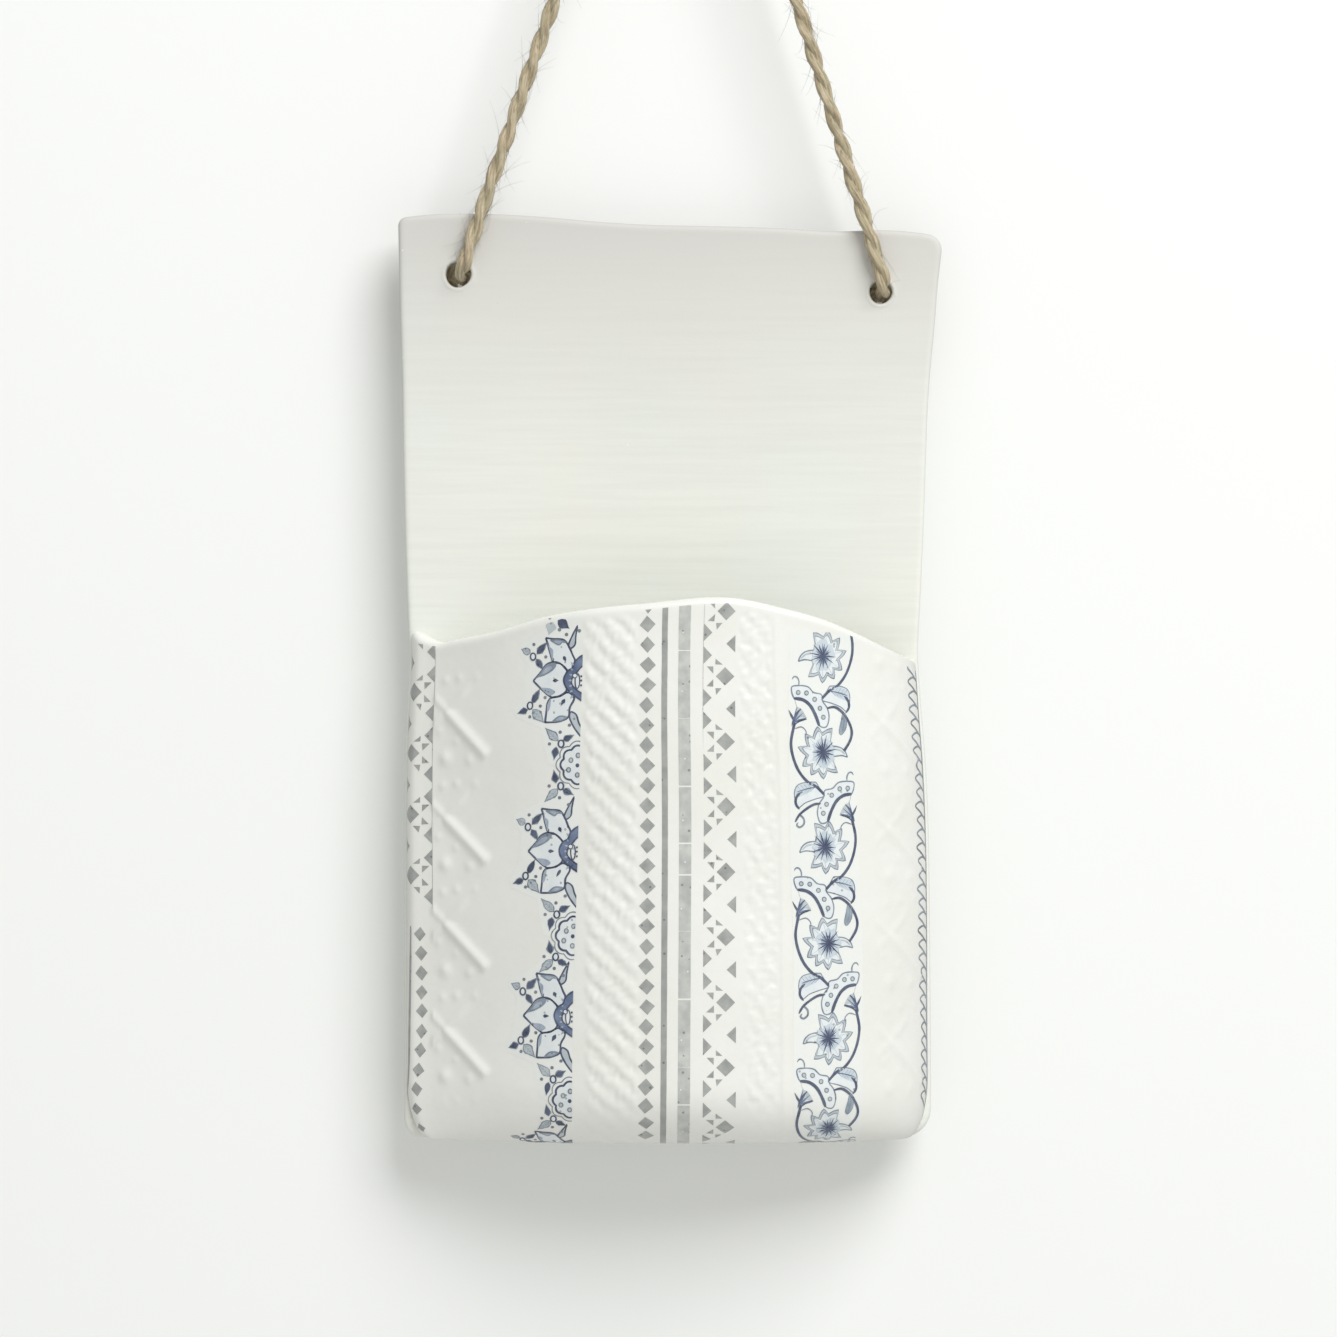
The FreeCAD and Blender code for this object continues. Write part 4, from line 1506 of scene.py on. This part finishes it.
SPRIGS = (
    (
        (((-9.9, -5.5), (-11.8, -6.3), 0.75, "mist"), ((-8.7, -5.2), (-6.5, -7.6), 0.66, "navy"),
         ((-8.8, -4.4), (-7.3, -2.1), 0.62, "navy")),
        (-9.4, -4.8), ((-9.2, -7.1), (-6.9, -4.7), (-5.6, -4.2)),
    ),
    (
        (((-9.3, 5.2), (-7.0, 7.8), 0.9, "mist"), ((-9.4, 4.1), (-7.9, 1.2), 0.66, "navy"),
         ((-10.2, 5.2), (-12.4, 6.0), 0.62, "navy")),
        (-9.8, 4.5), ((-7.8, 4.6), (-9.8, 6.6), (-6.9, 3.0)),
    ),
    (
        (((-4.2, 11.3), (-6.8, 8.7), 0.8, "mist"), ((-3.4, 11.2), (-1.2, 10.1), 0.62, "navy"),
         ((-4.6, 12.3), (-5.1, 15.0), 0.62, "navy")),
        (-3.7, 11.8), ((-5.9, 11.8), (-3.9, 9.6), (-2.2, 8.3)),
    ),
)
FLOWER_FILM = (
    (0.0, -13.4), (-3.4, -13.6), (-5.2, -11.8), (-7.6, -9.3), (-12.4, -7.0), (-12.6, -5.6),
    (-10.8, -3.4), (-11.2, 2.4), (-13.0, 5.4), (-12.4, 7.0), (-7.4, 9.0), (-6.8, 12.4),
    (-5.8, 15.8), (0.0, 17.4),
)
MEDALLION_RINGS = ((4.3, 0.2, "haze"), (3.5, 0.38, "navy"))
FLOWER_PERIOD = 31.7
print("each half flower:", len(PETALS), "petals, with", len(SPRIGS), "sprigs beside it")

# %% [markdown]
# ### Drawing the half flowers
# A petal is filled first, then gets its line, its grey-blue shade with a paler middle, and one
# dark seed. Leaves and seeds differ a little from flower to flower, as brush strokes do.

# %% Half flowers
def sprig(paper, place, leaves, knot, dots):
    """Three leaves round a small ring, with dots between them."""
    for root, tip, belly, ink in leaves:
        root, tip = np.array(root), np.array(tip)
        way = tip - root
        leaf(paper, place, root, tip, belly * 1.12, "haze", 2)
        leaf(paper, place, root + 0.06 * way, root + 0.88 * way, belly * 0.84, ink, 3)
        if ink == "navy":
            continue
        aside = np.array((-way[1], way[0])) / np.linalg.norm(way) * belly
        draw_line(paper, place, [root, root + 0.8 * way], 0.15, "haze", 4)
        for step in (0.15, 0.33, 0.51):
            for side in (-0.6, 0.6):
                start = root + step * way
                draw_line(paper, place, [start, start + 0.16 * way + side * aside], 0.13, "haze", 4)
    dot(paper, place, *knot, 0.5, "petal", 4, 1.25)
    ring(paper, place, *knot, 0.52, 0.3, "navy", 5, 1.3)
    for u, v in dots:
        dot(paper, place, u, v, 0.32, "ash", 2)


def half_flower(paper, y):
    """One flower of the border, cut at x = 0."""
    place = seat(0, y, 1, -0.02)
    for points in FAR_PETALS:
        outlined(paper, place, points, "mist", "navy", 0.3, 0)
    for outline, dark, light, (start, end) in PETALS:
        outlined(paper, place, outline, "petal", "navy", 0.36, 1)
        lay_shape(paper, place, curve_through(dark), "haze", 3)
        middle = np.mean(dark, axis=0)
        inner = [middle + (np.array(point) - middle) * 0.55 for point in dark]
        lay_shape(paper, place, curve_through(inner), "sky", 4)
        lay_shape(paper, place, curve_through(light), "sky", 3)
        leaf(paper, place, start, end, 0.34, "navy", 4)
    lay_shape(paper, place, curve_through(BLUE_RING), "blue", 5)
    draw_curve(paper, place, BLUE_RING[:10], 5, 0.32, "navy", 6, (1.0, 1.0))
    draw_curve(paper, place, BLUE_RING[10:], 5, 0.3, "navy", 6, (1.0, 1.0))
    for step in range(7):
        v = -3.0 + 0.95 * step
        root, tip = (-1.9 + 0.12 * abs(v), v), (-2.6 + 0.16 * abs(v), v * 1.22)
        leaf(paper, place, root, tip, 0.2, "sky", 6)
    angles = np.linspace(0, math.tau, 14)
    heart = [(-0.85 + 0.42 * math.cos(a), 1.4 * math.sin(a)) for a in angles]
    lay_shape(paper, place, heart[:-1], "petal", 5)
    draw_line(paper, place, heart, 0.22, "navy", 6, (1.0, 1.0))
    for v in (-0.9, -0.1, 0.8):
        dot(paper, place, -0.12, v, 0.2, "navy", 6)
    dot(paper, place, -1.3, -1.05, 0.4, "petal", 7)
    ring(paper, place, -1.3, -1.05, 0.42, 0.16, "navy", 8)
    for leaves, knot, dots in SPRIGS:
        sprig(paper, place, leaves, knot, dots)
    next_flower = seat(0.3, y + FLOWER_PERIOD)

    def upside_down(u, v):
        return next_flower(u, -v)

    sprig(paper, upside_down, *SPRIGS[2])


def medallion(paper, y):
    """Half of a round medallion with a scalloped double edge."""
    place = seat(0.1, y)
    for size, width, ink in MEDALLION_RINGS:
        points = []
        for angle in np.linspace(math.radians(85), math.radians(275), 49):
            reach = size * (0.93 + 0.13 * abs(math.sin(4.5 * angle)))
            points.append((reach * math.cos(angle) * 0.98, reach * math.sin(angle)))
        if ink == "navy":
            lay_shape(paper, place, points, "petal", 1)
        draw_line(paper, place, points, width, ink, 2, (1.0, 1.0))
    for u, v in ((-1.7, -0.9), (-2.1, 0.95), (-0.4, -1.8), (-0.5, 1.9)):
        dot(paper, place, u, v, 0.42, "mist", 3, 1.2)
        ring(paper, place, u, v, 0.36, 0.2, "ash", 4, 1.2)
    dot(paper, place, -0.5, 0.1, 0.36, "navy", 3, 1.1)


paper = start_mesh()
half_guide = guide_through([(582.5, 617), (581.5, 700), (577.5, 860), (573, 1017), (572, 1130)])
flower_levels = [spot(px, py)[1] for px, py in ((577, 681), (572, 852), (566, 1017))]
for level in flower_levels:
    lay_shape(paper, seat(0, level), FLOWER_FILM, "film", -1)
    half_flower(paper, level)
    medallion(paper, level + FLOWER_PERIOD / 2)
half_flower(paper, flower_levels[-1] + FLOWER_PERIOD)
place = seat(0, spot(577, 617)[1])
leaf(paper, place, (-5.6, 0.9), (-6.4, 3.4), 1.0, "mist", 2)
leaf(paper, place, (-4.6, 0.6), (-2.4, 2.2), 0.95, "navy", 2)
for u, v in ((-6.2, 0.1), (-4.3, 2.4), (-3.0, 3.3), (-0.6, 2.6)):
    dot(paper, place, u, v, 0.34, "ash", 2)
cut_paper(paper, (0, 0, 0), (1, 0, 0))
fire_on("print_half_flowers", paper, half_guide, -0.6, 1.12)

# %% [markdown]
# ### A winding vine
# Right of the lace climbs a vine. Each of its star flowers is the mirror image of the one above
# it. Between them grow a hatched leaf, a spotted pod and a spiky tuft. By turns, the stem arches
# down past a small blue leaf, or ends in a curl.

# %% Shapes of the vine
STAR = (
    (1.1, -4.9), (0.1, -3.75), (-2.1, -4.6), (-1.7, -2.2), (-2.0, -0.4), (-2.1, 1.6), (-3.0, 4.0),
    (-0.8, 3.6), (0.0, 5.2), (1.1, 3.7), (2.6, 4.4), (2.6, 2.6), (4.3, 2.7), (3.6, 0.7),
    (5.2, -1.0), (3.3, -1.2), (3.7, -3.5), (2.1, -2.9),
)
SIDE_PETAL = (
    (-5.1, 1.0), (-5.1, 1.0), (-4.6, -0.1), (-3.4, -0.9), (-1.4, -1.0), (-0.8, 0.0), (-1.4, 0.9),
    (-2.7, 0.8), (-3.9, 0.7),
)
PETAL_FOLD = ((-4.6, 0.5), (-3.6, -0.3), (-2.4, -0.5))
STEM = (
    (5.2, -7.3), (6.0, -4.4), (6.5, -1.7), (6.1, 1.0), (5.0, 3.6), (3.3, 5.6), (1.5, 6.6),
    (0.0, 8.0),
)
ARCHING_STEM = (
    (1.0, 9.9), (2.7, 9.7), (4.4, 10.8), (5.6, 12.5), (6.2, 14.3), (5.8, 16.0), (4.4, 18.0),
)
BLUE_LEAF = ((4.4, 10.9), (5.1, 11.7), (5.0, 13.6), (4.0, 14.9), (3.5, 14.3), (4.0, 12.2))
BLUE_RIB = ((4.5, 11.2), (4.6, 12.6), (4.1, 14.4))
CURLED_STEM = ((0.7, 9.75), (2.0, 9.9), (3.4, 10.6), (5.0, 11.8), (5.9, 13.2))
STEM_CURL = ((5.0, 11.8), (4.2, 12.6), (4.2, 13.6), (5.0, 14.2), (5.6, 13.8), (5.3, 13.3))
BIG_LEAF = (
    (1.6, 5.7), (1.6, 5.7), (3.4, 5.7), (5.2, 6.2), (5.9, 7.4), (5.8, 9.2), (5.2, 10.5),
    (3.8, 9.6), (1.8, 8.9), (-0.1, 8.3), (0.7, 7.1),
)
LEAF_SHADE = ((1.7, 5.9), (3.4, 5.9), (5.1, 6.4), (5.7, 7.4), (5.3, 8.4), (3.9, 8.0), (2.6, 7.3))
LEAF_RIB = ((1.3, 6.6), (3.2, 6.9), (5.4, 7.5))
LEAF_SIDE = ((4.7, 7.6), (5.6, 8.6), (5.7, 9.8), (5.0, 10.8))
POD = (
    (-6.4, 6.0), (-5.2, 5.6), (-3.1, 5.8), (-1.8, 6.9), (-0.2, 7.3), (0.1, 8.6), (1.0, 9.8),
    (1.4, 11.6), (0.8, 13.4), (-0.6, 13.2), (-1.4, 11.4), (-2.4, 9.6), (-4.0, 8.4), (-5.8, 8.0),
)
POD_SIDE = ((-5.8, 8.0), (-4.0, 8.3), (-2.5, 9.4), (-1.4, 11.3), (-0.7, 13.2))
POD_DOTS = ((-5.0, 6.9), (-3.3, 7.0), (-1.6, 8.2), (-0.5, 9.9), (0.2, 11.6))
POD_CURL = ((-6.3, 4.4), (-5.9, 3.9), (-5.3, 4.0), (-4.9, 4.7), (-4.9, 5.6))
TUFT = (
    (-5.3, 9.6), (-5.3, 9.6), (-4.2, 10.2), (-3.3, 11.7), (-3.3, 11.7), (-4.6, 11.6), (-5.6, 12.9),
)
TUFT_TIPS = ((-5.2, 9.5), (-4.5, 9.9), (-3.9, 10.7), (-3.3, 11.7))
TUFT_SIDES = (
    (((-6.3, 13.2), (-5.6, 11.2), (-4.4, 10.0)), 0.3, "stem"),
    (((-6.2, 13.4), (-4.9, 12.4), (-3.2, 11.9)), 0.26, "navy"),
)
TENDRIL = ((-5.8, 13.8), (-4.4, 13.4), (-3.5, 14.1), (-3.4, 15.0))
STAR_LAYERS = ((1.0, "haze"), (0.945, "mist"), (0.84, "haze"), (0.8, "petal"))
RAYS = 26
print("each star flower:", len(STAR) // 2, "points and", RAYS, "rays")

# %% [markdown]
# ### Drawing the vine
# The star is laid in four tones, one inside the other. On it lie two jagged spots and a burst of
# thin rays in two inks. The stems are pen lines that swell, and the leaf is hatched along its rib.

# %% Vine
def star_flower(paper, place):
    """A star flower: a pale double edge, one folded petal, and a burst of dark strokes."""
    outlined(paper, place, SIDE_PETAL, "petal", "haze", 0.26, 0)
    draw_curve(paper, place, PETAL_FOLD, 4, 0.3, "mist", 2)
    corners = []
    for (u, v), (next_u, next_v) in zip(STAR, STAR[1:] + STAR[:1]):
        corners += [(u, v), (u, v), ((u + next_u) / 2 * 1.05, (v + next_v) / 2 * 1.05)]
    outline = np.array(curve_through(corners, 3))
    for layer, (size, ink) in enumerate(STAR_LAYERS):
        lay_shape(paper, place, outline * size, ink, 1 + layer)
    for u, v in STAR[::2]:
        draw_line(paper, place, [(0.45 * u, 0.45 * v), (0.8 * u, 0.8 * v)], 0.2, "mist", 5)
    angles = [math.tau * step / 24 for step in range(24)]
    for size, ink, layer in ((2.5, "pale", 6), (1.45, "sky", 7)):
        reaches = [size * random.uniform(0.75, 1.12) for _ in angles]
        jagged = [(r * math.cos(a), 1.15 * r * math.sin(a)) for a, r in zip(angles, reaches)]
        lay_shape(paper, place, jagged, ink, layer)
    for step in range(RAYS):
        angle = math.tau * (step + random.uniform(-0.35, 0.35)) / RAYS
        strong = step % 2 == 0
        reach = random.uniform(1.8, 2.9) if strong else random.uniform(1.4, 2.3)
        width, ink, layer = (0.25, "navy", 9) if strong else (0.17, "blue", 8)
        tip = (reach * math.cos(angle), 1.2 * reach * math.sin(angle))
        ray = [(0.0, 0.0), (0.5 * tip[0], 0.5 * tip[1]), tip]
        draw_line(paper, place, ray, width, ink, layer, (0.8, 0.05))
    dot(paper, place, 0.0, 0.0, 0.42, "navy", 10, 1.25)


def vine_unit(paper, place, arching):
    """One flower and all between it and the next; its stem arches down or ends in a curl."""
    draw_curve(paper, place, STEM, 7, 0.54, "stem", 3, (0.8, 1.0))
    outlined(paper, place, BIG_LEAF, "petal", "haze", 0.2, 1)
    lay_shape(paper, place, curve_through(LEAF_SHADE), "pale", 3)
    for step in range(5):
        u, v = 1.9 + 0.7 * step, 6.7 + 0.12 * step
        draw_line(paper, place, [(u, v), (u + 0.7, 5.9 + 0.12 * step)], 0.17, "haze", 4)
        draw_line(paper, place, [(u, v), (u + 0.9, 7.5 + 0.14 * step)], 0.17, "haze", 4)
    draw_curve(paper, place, LEAF_RIB, 4, 0.22, "blue", 5)
    draw_curve(paper, place, LEAF_SIDE, 5, 0.5, "stem", 4)
    if arching:
        draw_curve(paper, place, ARCHING_STEM, 6, 0.52, "stem", 5, (0.4, 1.0))
        outlined(paper, place, BLUE_LEAF, "teal", "haze", 0.14, 4)
        draw_curve(paper, place, BLUE_RIB, 4, 0.14, "haze", 6)
    else:
        draw_curve(paper, place, CURLED_STEM, 6, 0.46, "stem", 5, (0.4, 0.5))
        draw_curve(paper, place, STEM_CURL, 6, 0.34, "haze", 4, (0.8, 0.4))
    outlined(paper, place, POD, "petal", "haze", 0.26, 1)
    draw_curve(paper, place, POD_SIDE, 6, 0.62, "stem", 4, (0.6, 0.6))
    for u, v in POD_DOTS:
        dot(paper, place, u, v, 0.42, "mist", 3)
        ring(paper, place, u, v, 0.4, 0.17, "ash", 4)
    draw_curve(paper, place, POD_CURL, 4, 0.26, "haze", 3)
    lay_shape(paper, place, curve_through(TUFT), "mist", 4)
    for u, v in TUFT_TIPS:
        blade = [(-6.0, 12.6), (0.5 * u - 3.0, 0.5 * v + 6.2), (u, v)]
        draw_line(paper, place, blade, 0.26, "blue", 5, (1.0, 0.2))
    draw_line(paper, place, [(-5.3, 9.6), (-5.7, 8.2)], 0.2, "haze", 4)
    for points, width, ink in TUFT_SIDES:
        draw_curve(paper, place, points, 4, width, ink, 5)
    draw_line(paper, place, [(-6.9, 10.2), (-6.4, 11.2), (-5.8, 12.2)], 0.42, "stem", 4, (0.1, 1.0))
    draw_curve(paper, place, TENDRIL, 4, 0.2, "haze", 4)
    star_flower(paper, place)


VINE_GUIDE = ((823, 656), (823, 752), (825, 847), (828, 943), (828, 1038), (829, 1128))
paper = start_mesh()
vine_guide = guide_through(VINE_GUIDE)
top, foot = 172.0, FILM_END + 1
lay_shape(paper, flat, [(-7.0, top), (7.2, top), (7.2, foot), (-7.0, foot)], "film", -1)
for number, (px, py) in enumerate(VINE_GUIDE):
    even = number % 2 == 0
    vine_unit(paper, seat(0, spot(px, py)[1], 1 if even else -1), even)
cut_paper(paper, (0, spot(823, 632.5)[1], 0), (0, -1, 0))
fire_on("print_vine", paper, vine_guide, 0.2)

# %% [markdown]
# ### A line of loops
# Close to the right side a thin line carries a row of slanted loops. The loops stop near the
# foot, and the line goes on alone.

# %% Loops
def near_edge(level, inwards):
    """Distance round the wall to where it shows some of the photograph's pixels off its outline."""
    tries = np.linspace(0.5, 1.0, 201)
    points = np.array([wall_point(share, level) for share in tries])
    seen = (points[:, 0] - CAMERA_PLACE[0]) / nearness(points[:, 1]) * PHOTO_PIXELS / FRAME_WIDTH
    last = int(np.argmax(seen)) + 1
    return around_at(float(np.interp(seen[last - 1] - inwards, seen[:last], tries[:last])))


LOOP = ((0.0, 0.4), (-0.5, -0.45), (-1.0, 0.3), (-0.6, 1.5), (-0.1, 2.9))
LOOP_STEP = 2.65
LINE_INSET = 1.1
LOOP_INSET = 9.4


def loop_width(level):
    """How far a loop reaches round the wall, as its pixels in the photograph say."""
    return near_edge(level, LINE_INSET) - near_edge(level, LOOP_INSET)


loop_levels = np.arange(184.0, ROLL_LEVEL, 4.0)
loop_guide = [(float(level), near_edge(level, LINE_INSET)) for level in loop_levels]
loop_guide.append((FILM_END, loop_guide[-1][1]))
print("loops reach", round(loop_width(220.0), 2), "mm round the wall")
paper = start_mesh()
top = spot(912, 666)[1]
line = [(0.0, level) for level in np.arange(top + 1, 277.0, 0.8)]
draw_line(paper, flat, line, 0.62, "haze", 0, (1.0, 0.3))
for number in range(32):
    y = top + LOOP_STEP * number
    width = loop_width(y) * random.uniform(0.88, 1.06) * (1 - 0.3 * ease((number - 18) / 12))
    shape = [(reach * width, drop) for reach, drop in LOOP]
    ink = random.choice(("haze", "haze", "ash"))
    draw_curve(paper, seat(0, y), shape, 5, 0.38, ink, 1, (0.8, 1.0))
fire_on("print_loops", paper, loop_guide, 0.6, 1.0, 0.6)

# %% [markdown]
# ## The surroundings
# The vase hangs close in front of a pale wall, over a pale floor. The wall is a plain sheet that
# only the camera sees, and only from its front: its shader is transparent to every other ray and
# from behind, so that it doesn't darken the back of the vase and doesn't block other views.

# %% Wall and floor
WALL_GAP = 13.6
FLOOR_DROP = 520.0


def flat_sheet(name, size):
    """A plain square sheet, with no material yet."""
    made = bmesh.new()
    bmesh.ops.create_grid(made, x_segments=1, y_segments=1, size=size)
    data = bpy.data.meshes.new(name)
    made.to_mesh(data)
    made.free()
    sheet_object = bpy.data.objects.new(name, data)
    scene.collection.objects.link(sheet_object)
    return sheet_object


plaster, tree, shader = new_material("plaster")
finish = {"Base Color": colour(250, 251, 249), "Roughness": 0.9, "Specular IOR Level": 0.1}
feed(tree, shader, finish)
seen = node(tree, "ShaderNodeLightPath").outputs["Is Camera Ray"]
behind = node(tree, "ShaderNodeNewGeometry").outputs["Backfacing"]
shown = maths(tree, "MULTIPLY", seen, maths(tree, "SUBTRACT", 1.0, behind))
clear = node(tree, "ShaderNodeBsdfTransparent")
either = node(tree, "ShaderNodeMixShader", {0: shown, 1: clear.outputs[0], 2: shader.outputs[0]})
feed(tree, tree.nodes["Material Output"], {"Surface": either.outputs[0]})

back_wall = flat_sheet("back_wall", 2.0)
back_wall.rotation_euler = (math.radians(90), 0, 0)
back_wall.location = (0, WALL_GAP * MM, 0)
back_wall.data.materials.append(plaster)

floor_finish, tree, shader = new_material("pale_floor")
feed(tree, shader, {"Base Color": colour(220, 220, 218), "Roughness": 0.8})
ground = flat_sheet("ground", 1.2)
ground.location = (0, 0, -FLOOR_DROP * MM)
ground.data.materials.append(floor_finish)

# %% [markdown]
# ## Light
# The photograph was taken in soft daylight that comes from above and from the right. A wide area
# lamp gives that, and an even white surrounding fills the shade. Together they are about as
# strong as makes a colour come out as it was written.

# %% Lamps
def area_lamp(name, place, target, size, power):
    """A square soft lamp at a place, turned to face a target."""
    data = bpy.data.lights.new(name, "AREA")
    data.size = size
    data.energy = power
    lamp = bpy.data.objects.new(name, data)
    lamp.location = place
    lamp.rotation_euler = (Vector(target) - Vector(place)).to_track_quat("-Z", "Y").to_euler()
    scene.collection.objects.link(lamp)
    return lamp


TARGET = (0, 0, -0.19)
SHADE_LIGHT = (0.52, 0.525, 0.52, 1.0)
area_lamp("window_light", (0.58, -1.05, 0.88), TARGET, 0.95, 18.0)

world = bpy.data.worlds.new("surroundings")
scene.world = world
world.use_nodes = True
tree = world.node_tree
seen = node(tree, "ShaderNodeLightPath").outputs["Is Camera Ray"]
tint = blend_colours(tree, seen, SHADE_LIGHT, colour(249, 250, 249))
feed(tree, tree.nodes["Background"], {"Color": tint, "Strength": 1.0})
